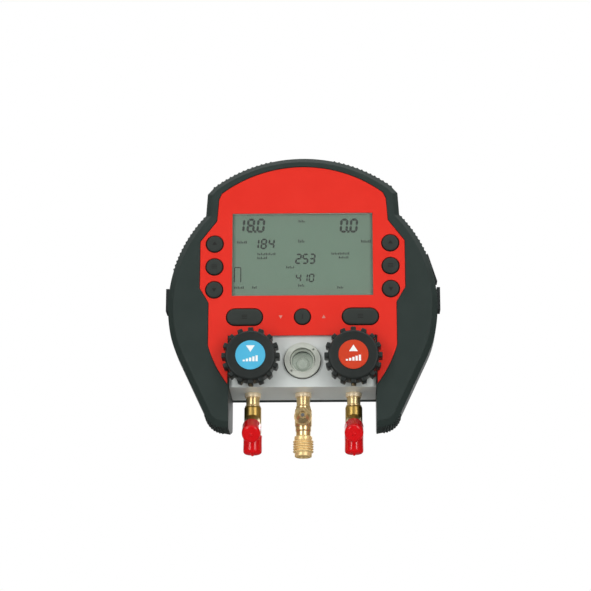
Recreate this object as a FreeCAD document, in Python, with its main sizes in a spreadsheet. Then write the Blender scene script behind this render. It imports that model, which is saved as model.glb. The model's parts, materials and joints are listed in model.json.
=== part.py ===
import FreeCAD, Part
import math
import os
import Sketcher

# Two-valve digital manifold gauge for refrigeration work.
# +Z is up, the display faces -Y, and the flat back lies in the plane y = 0.
# The origin is on the back, on the centre line, at the height of the two valve axes.

doc = FreeCAD.newDocument("ManifoldGauge")
sheet = doc.addObject("Spreadsheet::Sheet", "Sizes")
nodes = []


class Size:
    """A number in millimetres that keeps the formula it comes from, so objects can be bound to it."""

    def __init__(self, number, formula):
        self.number = number
        self.formula = formula

    def __add__(self, other):
        other = as_size(other)
        return Size(self.number + other.number, "(%s + %s)" % (self.formula, other.formula))

    def __sub__(self, other):
        other = as_size(other)
        return Size(self.number - other.number, "(%s - %s)" % (self.formula, other.formula))

    def __mul__(self, other):
        other = as_size(other)
        return Size(self.number * other.number, "(%s * %s)" % (self.formula, other.formula))

    def __truediv__(self, other):
        other = as_size(other)
        return Size(self.number / other.number, "(%s / %s)" % (self.formula, other.formula))

    def __neg__(self):
        return Size(-self.number, "(0 - %s)" % self.formula)


def as_size(value):
    if isinstance(value, Size):
        return value
    return Size(float(value), "(%.9g)" % value)


def root(value):
    return Size(math.sqrt(value.number), "sqrt(%s)" % value.formula)


def size(name, number):
    """Writes one driving dimension to the sheet and returns it."""
    row = size.row
    size.row = row + 1
    sheet.set("A%d" % row, name)
    sheet.set("B%d" % row, "%.9g" % number)
    sheet.setAlias("B%d" % row, name)
    return Size(float(number), "Sizes." + name)


size.row = 1

# Housing outline, as half widths (x) and heights (z)
top_height = size("top_height", 168.8)
shoulder_half = size("shoulder_half", 71)
shoulder_height = size("shoulder_height", 144.8)
neck_top_half = size("neck_top_half", 76.4)
neck_top_height = size("neck_top_height", 138.8)
neck_half = size("neck_half", 77.6)
neck_height = size("neck_height", 120.5)
side_bulge = size("side_bulge", 11.4)
side_low_half = size("side_low_half", 105.2)
side_low_height = size("side_low_height", 26)
taper_half = size("taper_half", 98.5)
taper_height = size("taper_height", 4.5)
taper_bulge = size("taper_bulge", 0.8)
leg_half = size("leg_half", 76.6)
leg_height = size("leg_height", 42)
leg_bulge = size("leg_bulge", 2.4)
foot_half = size("foot_half", 64)
foot_height = size("foot_height", 52.6)
leg_inner_half = size("leg_inner_half", 57.8)
leg_inner_height = size("leg_inner_height", 53.8)

# Housing shells
housing_depth = size("housing_depth", 58)
split_depth = size("split_depth", 30)
housing_wall = size("housing_wall", 3)
rim_chamfer = size("rim_chamfer", 4.5)
rear_taper = size("rear_taper", 8)
rear_round = size("rear_round", 5)

# Front panel outline
panel_top = size("panel_top", 160.1)
panel_shoulder_half = size("panel_shoulder_half", 64.5)
panel_shoulder_height = size("panel_shoulder_height", 138)
panel_neck_half = size("panel_neck_half", 66.8)
panel_neck_height = size("panel_neck_height", 133)
panel_waist_half = size("panel_waist_half", 68.2)
panel_waist_height = size("panel_waist_height", 114.8)
panel_wing_half = size("panel_wing_half", 81.4)
panel_wing_top = size("panel_wing_top", 97.5)
panel_wing_low = size("panel_wing_low", 59)
panel_hip_half = size("panel_hip_half", 74.3)
panel_hip_height = size("panel_hip_height", 47)
panel_lobe_height = size("panel_lobe_height", 12)
panel_lobe_bulge = size("panel_lobe_bulge", 1.6)
panel_tip_depth = size("panel_tip_depth", 19)
panel_cut_half = size("panel_cut_half", 58.8)
panel_cut_height = size("panel_cut_height", 20)
panel_thickness = size("panel_thickness", 2)
panel_recess = size("panel_recess", 0.4)
panel_gap = size("panel_gap", 0.3)

# Display
window_width = size("window_width", 112)
window_height = size("window_height", 68.6)
window_centre = size("window_centre", 86.8)
window_lip = size("window_lip", 2.5)
window_plate = size("window_plate", 1.6)
window_recess = size("window_recess", 0.5)
window_gap = size("window_gap", 0.2)
display_thickness = size("display_thickness", 4)
display_margin = size("display_margin", 3)
board_thickness = size("board_thickness", 1.6)
board_edge = size("board_edge", 1)
mat_thickness = size("mat_thickness", 1.2)

# Buttons
button_radius = size("button_radius", 7)
button_column = size("button_column", 70)
button_pitch = size("button_pitch", 19)
button_middle = size("button_middle", 76.6)
button_proud = size("button_proud", 1)
button_gap = size("button_gap", 0.3)
button_flange = size("button_flange", 0.9)
button_flange_thickness = size("button_flange_thickness", 1)
button_stem_radius = size("button_stem_radius", 3)
button_stem = size("button_stem", 1.3)
soft_button_half = size("soft_button_half", 14.5)
soft_button_offset = size("soft_button_offset", 45.7)
low_button_height = size("low_button_height", 35)
power_button_radius = size("power_button_radius", 6.6)

# Opening in the front shell behind the panel
opening_half = size("opening_half", 62.5)
opening_wing_half = size("opening_wing_half", 78.4)
opening_top = size("opening_top", 130)
opening_low = size("opening_low", 26)
opening_wing_margin = size("opening_wing_margin", 1.2)
opening_wing_corner = size("opening_wing_corner", 5)

# Manifold block and its drillings
block_gap = size("block_gap", 0.2)
block_height = size("block_height", 42)
block_depth = size("block_depth", 46)
block_setback = size("block_setback", 4)
gallery_radius = size("gallery_radius", 2)
port_drill_radius = size("port_drill_radius", 3)
port_thread_radius = size("port_thread_radius", 5)
port_thread_depth = size("port_thread_depth", 9)
thread_gap = size("thread_gap", 0.02)

# Valves
valve_offset = size("valve_offset", 40)
valve_bore_radius = size("valve_bore_radius", 8)
bonnet_depth = size("bonnet_depth", 6)
bonnet_flange_radius = size("bonnet_flange_radius", 10)
bonnet_flange_height = size("bonnet_flange_height", 4)
piston_radius = size("piston_radius", 5.95)
piston_gap = size("piston_gap", 0.05)
piston_guide = size("piston_guide", 2.6)
piston_nose_radius = size("piston_nose_radius", 4)
piston_nose = size("piston_nose", 4.4)
piston_travel = size("piston_travel", 2.5)
piston_slack = size("piston_slack", 0.3)
seat_gap = size("seat_gap", 0.1)
seat_radius = size("seat_radius", 2.6)
spindle_radius = size("spindle_radius", 3)
spindle_thread_radius = size("spindle_thread_radius", 2.4)
spindle_gap = size("spindle_gap", 0.06)
spindle_collar_radius = size("spindle_collar_radius", 4.6)
spindle_collar = size("spindle_collar", 1.6)
seal_section = size("seal_section", 1)
seal_height = size("seal_height", 1.8)
seal_end_gap = size("seal_end_gap", 0.1)

# Knobs
knob_radius = size("knob_radius", 20)
knob_tooth_radius = size("knob_tooth_radius", 22.7)
knob_tooth_width = size("knob_tooth_width", 4.2)
knob_teeth = size("knob_teeth", 16)
knob_thickness = size("knob_thickness", 14)
knob_gap = size("knob_gap", 3)
knob_front_round = size("knob_front_round", 2.2)
knob_wall = size("knob_wall", 2.6)
knob_hub_radius = size("knob_hub_radius", 7)
knob_tooth_setback = size("knob_tooth_setback", 2.4)
insert_radius = size("insert_radius", 11.6)
insert_thickness = size("insert_thickness", 1.2)
insert_gap = size("insert_gap", 0.1)
insert_recess = size("insert_recess", 0.3)
knob_screw_radius = size("knob_screw_radius", 2)
knob_screw_head_radius = size("knob_screw_head_radius", 3.6)
knob_screw_head = size("knob_screw_head", 2.4)
knob_screw_length = size("knob_screw_length", 8)
knob_web = size("knob_web", 2.5)
tap_end_gap = size("tap_end_gap", 0.5)

# Sight glass
glass_ring_radius = size("glass_ring_radius", 14.2)
glass_ring_flange = size("glass_ring_flange", 3)
glass_thread_radius = size("glass_thread_radius", 12.4)
glass_ring_depth = size("glass_ring_depth", 7)
glass_opening = size("glass_opening", 10)
glass_lens_radius = size("glass_lens_radius", 11)
glass_lens_thickness = size("glass_lens_thickness", 5)
glass_lip = size("glass_lip", 2.2)
glass_chamber_radius = size("glass_chamber_radius", 9)
glass_chamber = size("glass_chamber", 4)
glass_gap = size("glass_gap", 0.1)
spanner_hole_radius = size("spanner_hole_radius", 0.9)

# Service fittings
lock_ring_radius = size("lock_ring_radius", 6.4)
lock_ring_height = size("lock_ring_height", 3.4)
tee_neck_radius = size("tee_neck_radius", 5.3)
tee_neck = size("tee_neck", 6)
tee_radius = size("tee_radius", 6.7)
tee_length = size("tee_length", 24)
centre_tee_length = size("centre_tee_length", 21.8)
tee_bore_radius = size("tee_bore_radius", 2.4)
port_bore_radius = size("port_bore_radius", 2)
port_height = size("port_height", 11.4)
port_radius = size("port_radius", 5.556)
port_angle = size("port_angle", 35)
port_collar_radius = size("port_collar_radius", 6)
port_collar_reach = size("port_collar_reach", 15)
port_length = size("port_length", 12.5)
port_flare = size("port_flare", 2.6)
bore_excess = size("bore_excess", 1)
plug_end_gap = size("plug_end_gap", 1)
front_collar_reach = size("front_collar_reach", 10)
front_port_length = size("front_port_length", 7)
front_bore_radius = size("front_bore_radius", 2.9)
front_bore_depth = size("front_bore_depth", 12)
cap_wall = size("cap_wall", 1.85)
cap_gap = size("cap_gap", 0.09)
cap_seat = size("cap_seat", 0.3)
cap_end = size("cap_end", 2.2)
cap_chamfer = size("cap_chamfer", 1.6)
cap_nub_radius = size("cap_nub_radius", 1.1)
cap_nub = size("cap_nub", 1.4)

# Valve core in the centre fitting's front port
core_inset = size("core_inset", 2.2)
core_length = size("core_length", 7)
core_gap = size("core_gap", 0.02)
core_bore_radius = size("core_bore_radius", 0.87)
core_pin_radius = size("core_pin_radius", 0.8)
core_pin_head_radius = size("core_pin_head_radius", 1.3)
core_pin_proud = size("core_pin_proud", 1.4)
core_pin_head = size("core_pin_head", 0.6)
core_pin_inset = size("core_pin_inset", 1)

# Swivel nut below the centre fitting
swivel_neck_radius = size("swivel_neck_radius", 5.7)
swivel_neck = size("swivel_neck", 3.3)
swivel_gap = size("swivel_gap", 0.3)
nut_collar_radius = size("nut_collar_radius", 7.1)
nut_collar = size("nut_collar", 3.2)
nut_radius = size("nut_radius", 8.1)
nut_knurl = size("nut_knurl", 10)
nut_end_radius = size("nut_end_radius", 6.8)
nut_end = size("nut_end", 3.4)
nut_bore_radius = size("nut_bore_radius", 5.05)
nut_roof = size("nut_roof", 4.6)
nut_thread = size("nut_thread", 8.4)
nut_relief_radius = size("nut_relief_radius", 5.6)
tail_radius = size("tail_radius", 3.6)
tail_gap = size("tail_gap", 0.08)
tail_flange_radius = size("tail_flange_radius", 4.7)
tail_flange = size("tail_flange", 2)
tail_plug = size("tail_plug", 6)
tail_inset = size("tail_inset", 0.5)
tail_bore_radius = size("tail_bore_radius", 1.9)
swivel_seal_thickness = size("swivel_seal_thickness", 1)

# Hanging hook on the back
hook_pivot_height = size("hook_pivot_height", 150)
hook_thickness = size("hook_thickness", 6)
hook_inset = size("hook_inset", 4.6)
hook_recess_half = size("hook_recess_half", 12)
hook_recess_low = size("hook_recess_low", 105)
hook_recess_depth = size("hook_recess_depth", 9)
hook_recess_wall = size("hook_recess_wall", 2.5)
hook_side_gap = size("hook_side_gap", 1)
hook_shank_half = size("hook_shank_half", 4)
hook_reach = size("hook_reach", 32)
hook_ring_radius = size("hook_ring_radius", 10)
hook_ring_bore = size("hook_ring_bore", 5.8)
hook_mouth = size("hook_mouth", 7)
hook_pin_radius = size("hook_pin_radius", 1.8)
hook_pin_gap = size("hook_pin_gap", 0.06)

# Battery bay on the back
battery_radius = size("battery_radius", 7.1)
battery_length = size("battery_length", 50)
battery_nib_radius = size("battery_nib_radius", 2.7)
battery_nib = size("battery_nib", 1)
battery_gap = size("battery_gap", 0.2)
battery_height = size("battery_height", 80)
battery_tray_wall = size("battery_tray_wall", 1.6)
battery_tray_rim = size("battery_tray_rim", 3)
contact_radius = size("contact_radius", 3.4)
contact_length = size("contact_length", 2)
door_gap = size("door_gap", 0.3)
door_pin_radius = size("door_pin_radius", 0.9)
door_pin = size("door_pin", 2)
door_pin_gap = size("door_pin_gap", 0.06)

# Pressure sensors on the block
sensor_radius = size("sensor_radius", 8)
sensor_height = size("sensor_height", 20)
sensor_neck = size("sensor_neck", 5)
sensor_clearance = size("sensor_clearance", 1)
sensor_hole_reach = size("sensor_hole_reach", 2)

# Sockets and rubber covers in the sides
socket_height = size("socket_height", 53)
socket_depth = size("socket_depth", 38)
socket_radius = size("socket_radius", 5.8)
socket_length = size("socket_length", 12)
socket_bore_radius = size("socket_bore_radius", 4.1)
socket_gap = size("socket_gap", 0.1)
socket_inset = size("socket_inset", 1)
socket_floor = size("socket_floor", 1.1)
plug_gap = size("plug_gap", 0.09)
plug_reach = size("plug_reach", 9)
plug_thickness = size("plug_thickness", 2.6)
plug_height = size("plug_height", 18.5)
plug_width = size("plug_width", 14)
plug_seat = size("plug_seat", 0.3)
cover_height = size("cover_height", 78.5)
cover_length = size("cover_length", 24)
cover_width = size("cover_width", 11)
cover_thickness = size("cover_thickness", 2)
data_socket_width = size("data_socket_width", 8)
data_socket_height = size("data_socket_height", 12)
data_socket_depth = size("data_socket_depth", 9)

# Screws
screw_radius = size("screw_radius", 1.75)
screw_head_radius = size("screw_head_radius", 3.4)
screw_head = size("screw_head", 2.4)
screw_recess = size("screw_recess", 1)
screw_length = size("screw_length", 44)
screw_gap = size("screw_gap", 0.02)
boss_radius = size("boss_radius", 4.6)
upper_screw_half = size("upper_screw_half", 54)
upper_screw_height = size("upper_screw_height", 135)
side_screw_half = size("side_screw_half", 86)
side_screw_height = size("side_screw_height", 20)
leg_screw_half = size("leg_screw_half", 64.5)
leg_screw_height = size("leg_screw_height", 28)
block_screw_half = size("block_screw_half", 20)
block_screw_rise = size("block_screw_rise", 13)
block_screw_length = size("block_screw_length", 14)

doc.recompute()

# Planes and heights that several pieces share, all worked out from the sizes above
front_face = -housing_depth
split_plane = -split_depth
panel_front = front_face + panel_recess
panel_back = panel_front + panel_thickness
window_back = panel_back + window_plate
display_back = window_back + display_thickness
board_back = display_back + board_thickness
block_front = front_face + block_setback
block_back = block_front + block_depth
block_half_width = leg_inner_half - block_gap
block_top = block_height / 2
port_axis = (block_front + block_back) / 2
piston_length = piston_guide + piston_nose
seat_face = block_front + bonnet_depth + piston_travel + piston_slack + piston_length + seat_gap
knob_back = front_face - knob_gap
knob_front = knob_back - knob_thickness
neck_end = -(block_top + lock_ring_height + tee_neck)
tee_end = neck_end - tee_length
centre_tee_end = neck_end - centre_tee_length
port_level = neck_end - port_height
cap_radius = port_radius + cap_gap + cap_wall
notch_top = block_top + block_gap
zero = as_size(0)


def bind(item, prop, value):
    value = as_size(value)
    setattr(item, prop, value.number)
    item.setExpression(prop, value.formula)


def place(item, x, y, z, tilt=None, axis=(1, 0, 0)):
    """Puts an object's own origin at x, y, z, turned about an axis by tilt degrees."""
    x, y, z = as_size(x), as_size(y), as_size(z)
    turn = FreeCAD.Rotation(FreeCAD.Vector(*axis), as_size(tilt or 0).number)
    item.Placement = FreeCAD.Placement(FreeCAD.Vector(x.number, y.number, z.number), turn)
    for letter, value in (("x", x), ("y", y), ("z", z)):
        item.setExpression("Placement.Base." + letter, value.formula)
    return item


def fix(sketch, kind, value, *where):
    """Adds one dimension to a sketch and binds it to its formula."""
    value = as_size(value)
    number = sketch.addConstraint(Sketcher.Constraint(kind, *where, value.number))
    sketch.setExpression("Constraints[%d]" % number, value.formula)


def fix_point(sketch, edge, end, point):
    fix(sketch, "DistanceX", point[0], -1, 1, edge, end)
    fix(sketch, "DistanceY", point[1], -1, 1, edge, end)


def vector(point):
    return FreeCAD.Vector(as_size(point[0]).number, as_size(point[1]).number, 0)


def draw(sketch, start, moves):
    """Draws a closed outline. A move of two values is a line to there, one of four an arc through
    its first two values to its last two."""
    ends = []
    here = start
    for move in moves:
        there = move[-2:]
        a, b = vector(here), vector(there)
        if len(move) == 2:
            edge = sketch.addGeometry(Part.LineSegment(a, b), False)
            ends.append((edge, 1, 2, there))
        else:
            middle = vector(move[:2])
            edge = sketch.addGeometry(Part.Arc(a, middle, b), False)
            left_turn = (middle - a).cross(b - a).z > 0
            ends.append((edge, 1, 2, there) if left_turn else (edge, 2, 1, there))
            mark = sketch.addGeometry(Part.Point(middle), True)
            fix_point(sketch, mark, 1, move[:2])
            sketch.addConstraint(Sketcher.Constraint("PointOnObject", mark, 1, edge))
        here = there
    for this, following in zip(ends, ends[1:] + ends[:1]):
        sketch.addConstraint(
            Sketcher.Constraint("Coincident", this[0], this[2], following[0], following[1]))
        fix_point(sketch, this[0], this[2], this[3])


def draw_circle(sketch, x, z, radius):
    spot = FreeCAD.Vector(as_size(x).number, as_size(z).number, 0)
    circle = Part.Circle(spot, FreeCAD.Vector(0, 0, 1), as_size(radius).number)
    edge = sketch.addGeometry(circle, False)
    fix_point(sketch, edge, 3, (x, z))
    fix(sketch, "Radius", radius, edge)


def draw_slot(sketch, x, z, half_length, radius):
    """Draws a slot with round ends, lying along x."""
    reach = half_length - radius
    start = (x - reach, z - radius)
    moves = [(x + reach, z - radius), (x + half_length, z, x + reach, z + radius),
             (x - reach, z + radius), (x - half_length, z, x - reach, z - radius)]
    draw(sketch, start, moves)


def draw_box(sketch, x0, x1, z0, z1):
    draw(sketch, (x0, z0), [(x1, z0), (x1, z1), (x0, z1), (x0, z0)])


def bulged(start, end, bulge):
    """An arc's move from start to end that stands off the chord by bulge, to the right of the way."""
    dx, dz = end[0] - start[0], end[1] - start[1]
    chord = root(dx * dx + dz * dz)
    middle = ((start[0] + end[0]) / 2 + dz / chord * bulge, (start[1] + end[1]) / 2 - dx / chord * bulge)
    return middle + end


def new_body(label, plane="XZ_Plane"):
    body = doc.addObject("PartDesign::Body", label)
    body.Label = label
    sketch = body.newObject("Sketcher::SketchObject", label + "_sketch")
    origin_plane = [item for item in body.Origin.OriginFeatures if item.Role == plane][0]
    sketch.AttachmentSupport = [(origin_plane, "")]
    sketch.MapMode = "FlatFace"
    return body, sketch


def pad(body, sketch, thickness):
    feature = body.newObject("PartDesign::Pad", body.Label + "_pad")
    feature.Profile = sketch
    bind(feature, "Length", thickness)
    sketch.Visibility = False
    return feature


def plate(label, draw_outline, back, thickness):
    """A flat piece: its outline is drawn in the x-z plane and it grows towards the front."""
    body, sketch = new_body(label)
    draw_outline(sketch)
    pad(body, sketch, thickness)
    place(body, 0, back, 0)
    doc.recompute()
    return body


def turned(label, start, moves, x, y, z, tilt=0):
    """A turned piece: its half section is drawn as radius and distance along the axis. With no tilt the
    axis points up, with a tilt of 90 to the front and with 180 down."""
    body, sketch = new_body(label)
    draw(sketch, start, moves)
    feature = body.newObject("PartDesign::Revolution", label + "_turn")
    feature.Profile = sketch
    feature.ReferenceAxis = (sketch, ["V_Axis"])
    feature.Angle = 360
    place(body, x, y, z, tilt)
    doc.recompute()
    return body


def sleeve(label, outer, inner, length, x, y, z, tilt=0):
    outer, inner, length = as_size(outer), as_size(inner), as_size(length)
    return turned(label, (inner, zero), [(outer, zero), (outer, length), (inner, length), (inner, zero)],
                  x, y, z, tilt)


def rod(label, radius, length, x, y, z, tilt=0, axis=(1, 0, 0)):
    cylinder = doc.addObject("Part::Cylinder", label)
    cylinder.Label = label
    bind(cylinder, "Radius", radius)
    bind(cylinder, "Height", length)
    return place(cylinder, x, y, z, tilt, axis)


def box(label, x0, x1, y0, y1, z0, z1):
    x0, x1, y0, y1, z0, z1 = [as_size(value) for value in (x0, x1, y0, y1, z0, z1)]
    item = doc.addObject("Part::Box", label)
    item.Label = label
    bind(item, "Length", x1 - x0)
    bind(item, "Width", y1 - y0)
    bind(item, "Height", z1 - z0)
    return place(item, x0, y0, z0)


def fuse(label, shapes):
    item = doc.addObject("Part::MultiFuse", label)
    item.Label = label
    item.Shapes = shapes
    item.Refine = True
    doc.recompute()
    return item


def group(label, shapes):
    """Separate solids that share one node."""
    item = doc.addObject("Part::Compound", label)
    item.Label = label
    item.Links = shapes
    doc.recompute()
    return item


def cut(label, base, tools):
    item = doc.addObject("Part::Cut", label)
    item.Label = label
    item.Base = base
    item.Tool = tools[0] if len(tools) == 1 else fuse(label + "_tools", tools)
    item.Refine = True
    doc.recompute()
    return item


def common(label, base, tool):
    item = doc.addObject("Part::Common", label)
    item.Label = label
    item.Base = base
    item.Tool = tool
    doc.recompute()
    return item


def node(item):
    nodes.append(item)
    return item


def both_sides(half):
    """The right half outline, then its mirror image: every point keeps its formula."""
    start, moves = half
    points = [start] + [move[-2:] for move in moves]
    mirrored = []
    for move, before in zip(reversed(moves), reversed(points[:-1])):
        middle = move[:-2]
        turned_back = tuple(-value if index == 0 else value for index, value in enumerate(middle))
        mirrored.append(turned_back + (-before[0], before[1]))
    return start, moves, mirrored


def housing_half():
    """Right half of the housing outline, from the tip of the leg round to the top."""
    tip = (leg_inner_half, -leg_inner_height)
    foot = (foot_half, -foot_height)
    leg = (leg_half, -leg_height)
    taper = (taper_half, taper_height)
    side_low = (side_low_half, side_low_height)
    neck = (neck_half, neck_height)
    neck_top = (neck_top_half, neck_top_height)
    moves = [foot, bulged(foot, leg, leg_bulge), taper, bulged(taper, side_low, taper_bulge),
             bulged(side_low, neck, side_bulge), neck_top, (shoulder_half, shoulder_height)]
    return tip, moves


def draw_housing(sketch):
    start, moves, mirrored = both_sides(housing_half())
    over_top = (zero, top_height, -shoulder_half, shoulder_height)
    draw(sketch, start, moves + [over_top] + mirrored + [start])


def panel_half():
    lobe = (panel_hip_half, panel_lobe_height)
    tip = (panel_cut_half, -panel_tip_depth)
    moves = [tip, bulged(tip, lobe, panel_lobe_bulge), (panel_hip_half, panel_hip_height),
             (panel_wing_half, panel_wing_low), (panel_wing_half, panel_wing_top),
             (panel_waist_half, panel_waist_height), (panel_neck_half, panel_neck_height),
             (panel_shoulder_half, panel_shoulder_height)]
    return (panel_cut_half, panel_cut_height), moves


def draw_panel(sketch):
    start, moves, mirrored = both_sides(panel_half())
    over_top = (zero, panel_top, -panel_shoulder_half, panel_shoulder_height)
    draw(sketch, start, moves + [over_top] + mirrored + [start])


def button_spots():
    """The six round buttons, top to bottom on each side."""
    spots = []
    for side, sign in (("left", -1), ("right", 1)):
        for name, step in (("top", 1), ("middle", 0), ("bottom", -1)):
            spots.append((side + "_" + name, button_column * sign, button_middle + button_pitch * step))
    return spots


def free_sketch(label, draw_outline, level=0):
    """An outline in the plane y = level that extrusions and lofts are made from."""
    sketch = doc.addObject("Sketcher::SketchObject", label)
    place(sketch, 0, level, 0, 90)
    draw_outline(sketch)
    doc.recompute()
    return sketch


def offset(label, sketch, distance, join):
    item = doc.addObject("Part::Offset2D", label)
    item.Source = sketch
    bind(item, "Value", distance)
    item.Join = join
    doc.recompute()
    return item


def extrude(label, source, back, front):
    """Fills an outline from the plane y = back to the plane y = front."""
    item = doc.addObject("Part::Extrusion", label)
    item.Base = source
    item.DirMode = "Custom"
    item.Dir = FreeCAD.Vector(0, -1, 0)
    item.Solid = True
    bind(item, "LengthFwd", -as_size(front))
    bind(item, "LengthRev", as_size(back))
    doc.recompute()
    return item


def eased(label, kind, item, plane, amount):
    """Rounds or bevels all the edges of an extrusion that lie in the plane y = plane."""
    feature = doc.addObject(kind, label)
    feature.Base = item
    amount = as_size(amount).number
    level = as_size(plane).number
    in_plane = []
    for number, edge in enumerate(item.Shape.Edges, 1):
        bounds = edge.BoundBox
        if abs(bounds.YMin - level) < 0.01 and abs(bounds.YMax - level) < 0.01:
            in_plane.append((number, amount, amount))
    feature.Edges = in_plane
    doc.recompute()
    return feature


def drawn_in(label, front, front_inset, back, back_inset):
    """A solid that narrows from the housing outline in the plane y = front to a smaller one at y = back."""
    sections = []
    for end, level, inset in (("front", front, front_inset), ("back", back, back_inset)):
        sketch = free_sketch("%s_%s_outline" % (label, end), draw_housing, level)
        sections.append(offset("%s_%s" % (label, end), sketch, -inset, "Tangent") if inset else sketch)
    item = doc.addObject("Part::Loft", label)
    item.Sections = sections
    item.Solid = True
    item.Ruled = True
    doc.recompute()
    return item


# Housing: a front shell with the panel's recess and a rear shell with the battery bay and the hook
housing_sketch = free_sketch("housing_outline", draw_housing)
inner_sketch = offset("housing_inside", housing_sketch, -housing_wall, "Tangent")
panel_sketch = free_sketch("panel_outline", draw_panel)
recess_sketch = offset("panel_recess_outline", panel_sketch, panel_gap, "Arc")


def screw_spots():
    spots = []
    for sign in (-1, 1):
        spots.append((upper_screw_half * sign, upper_screw_height))
        spots.append((side_screw_half * sign, side_screw_height))
        spots.append((leg_screw_half * sign, -leg_screw_height))
    return spots


screw_seat = -screw_recess - screw_head
screw_tip = screw_seat - (screw_length - screw_head)


def draw_opening(sketch):
    """The hole behind the panel that the display and the buttons work through."""
    wing_low = button_middle - button_pitch - button_radius - opening_wing_margin
    wing_top = button_middle + button_pitch + button_radius + opening_wing_margin
    corner_half = opening_wing_half - opening_wing_corner
    corner_low = wing_low + opening_wing_corner
    corner_top = wing_top - opening_wing_corner
    start = (-opening_half, opening_low)
    draw(sketch, start, [
        (opening_half, opening_low), (opening_half, wing_low), (corner_half, wing_low),
        (opening_wing_half, corner_low), (opening_wing_half, corner_top), (corner_half, wing_top),
        (opening_half, wing_top), (opening_half, opening_top),
        (-opening_half, opening_top), (-opening_half, wing_top), (-corner_half, wing_top),
        (-opening_wing_half, corner_top), (-opening_wing_half, corner_low), (-corner_half, wing_low),
        (-opening_half, wing_low), start])


def side_holes(prefix):
    """Round holes in both flanks for the sockets."""
    holes = []
    for side, sign in (("left", -1), ("right", 1)):
        reach = side_low_half - housing_wall * 3
        start = reach if sign > 0 else -(side_low_half + plug_thickness * 2)
        length = side_low_half + plug_thickness * 2 - reach
        holes.append(rod(prefix + side + "_socket_hole", socket_radius + socket_gap, length,
                         start, -socket_depth, socket_height, 90, (0, 1, 0)))
    return holes


def sensor_holes(prefix):
    holes = []
    for side, sign in (("left", -1), ("right", 1)):
        holes.append(rod(prefix + side + "_sensor_hole", port_thread_radius + sensor_clearance,
                         housing_wall + sensor_hole_reach, valve_offset * sign, port_axis,
                         block_top - sensor_hole_reach / 2))
    return holes


# The side's big arc, from its ends and its bulge, carries the data socket and its cover
side_dx = neck_half - side_low_half
side_dz = neck_height - side_low_height
side_chord = root(side_dx * side_dx + side_dz * side_dz)
side_radius = side_chord * side_chord / (side_bulge * 8) + side_bulge / 2
side_centre_x = (side_low_half + neck_half) / 2 - side_dz / side_chord * (side_radius - side_bulge)
side_centre_z = (side_low_height + neck_height) / 2 + side_dx / side_chord * (side_radius - side_bulge)
cover_rise = cover_height - side_centre_z
cover_run = root(side_radius * side_radius - cover_rise * cover_rise)
cover_lean = math.degrees(math.atan2(cover_rise.number, cover_run.number))


def on_side(distance):
    """A point on the ray through the cover's middle, at a distance outside the housing's flank."""
    reach = (side_radius + distance) / side_radius
    return side_centre_x + cover_run * reach, side_centre_z + cover_rise * reach


def side_box(label, low, high, width, length):
    """A box across the flank, square to it, between two distances from its surface."""
    item = doc.addObject("Part::Box", label)
    item.Label = label
    bind(item, "Length", as_size(high) - as_size(low))
    bind(item, "Width", width)
    bind(item, "Height", length)
    x, z = on_side(as_size(low))
    along = as_size(length) / 2 / side_radius
    x = x + cover_rise * along
    z = z - cover_run * along
    return place(item, x, -socket_depth - as_size(width) / 2, z, -cover_lean, (0, 1, 0))


def data_hole(prefix):
    return side_box(prefix + "data_hole", -housing_wall * 2, plug_thickness,
                    data_socket_width + socket_gap * 2, data_socket_height + socket_gap * 2)


def notch_box(label, margin, back, front, low=None, high=None):
    """The space between the legs, with the block's own space above it."""
    half = leg_inner_half + margin
    return box(label, -half, half, front, back, low or -(foot_height * 2), high or notch_top + margin)


front_outer = extrude("front_outer", housing_sketch, split_plane, front_face)
front_eased = eased("front_eased", "Part::Chamfer", front_outer, front_face, rim_chamfer)
front_wall_back = panel_back + housing_wall
front_hollow = extrude("front_hollow", inner_sketch, split_plane, front_wall_back)
front_notch_wall = notch_box("front_notch_wall", housing_wall, 0, front_face)
front_cavity = cut("front_cavity", front_hollow, [front_notch_wall])
panel_pocket = extrude("panel_pocket", recess_sketch, panel_back, front_face - rim_chamfer)
opening_sketch = free_sketch("opening_outline", draw_opening)
opening = extrude("panel_opening", opening_sketch, front_wall_back, front_face)
front_notch = notch_box("front_notch", zero, 0, front_face - 1)
front_shell = cut("front_shell", front_eased, [front_cavity, front_notch])
front_bosses = []
for number, (x, z) in enumerate(screw_spots(), 1):
    front_bosses.append(rod("front_boss_%d" % number, boss_radius, split_plane - front_wall_back,
                            x, split_plane, z, 90))
front_with_bosses = fuse("front_with_bosses", [front_shell] + front_bosses)
front_drills = [rod("front_drill_%d" % number, screw_radius + screw_gap, split_plane - screw_tip + 1,
                    x, split_plane, z, 90) for number, (x, z) in enumerate(screw_spots(), 1)]
node(cut("front_housing", front_with_bosses, [panel_pocket, opening, data_hole("front_")]
                         + front_drills + side_holes("front_") + sensor_holes("front_")))

rear_outer = drawn_in("rear_outer", split_plane, None, zero, rear_taper)
rear_eased = eased("rear_eased", "Part::Fillet", rear_outer, zero, rear_round)
rear_hollow = drawn_in("rear_hollow", split_plane, housing_wall, -housing_wall, housing_wall + rear_taper)
rear_cavity = cut("rear_cavity", rear_hollow, [notch_box("rear_notch_wall", housing_wall, 0, split_plane)])

battery_pitch = battery_radius * 2 + battery_gap
bay_half_height = battery_pitch + battery_gap
bay_half_width = battery_length + battery_nib + contact_length + battery_gap
bay_floor = -housing_wall - battery_gap - battery_radius * 2
door_low = battery_height - bay_half_height
door_top = battery_height + bay_half_height
door_hinge_height = door_low + door_gap + housing_wall / 2
door_hinge_depth = -housing_wall / 2
door_side = bay_half_width - door_gap

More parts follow.
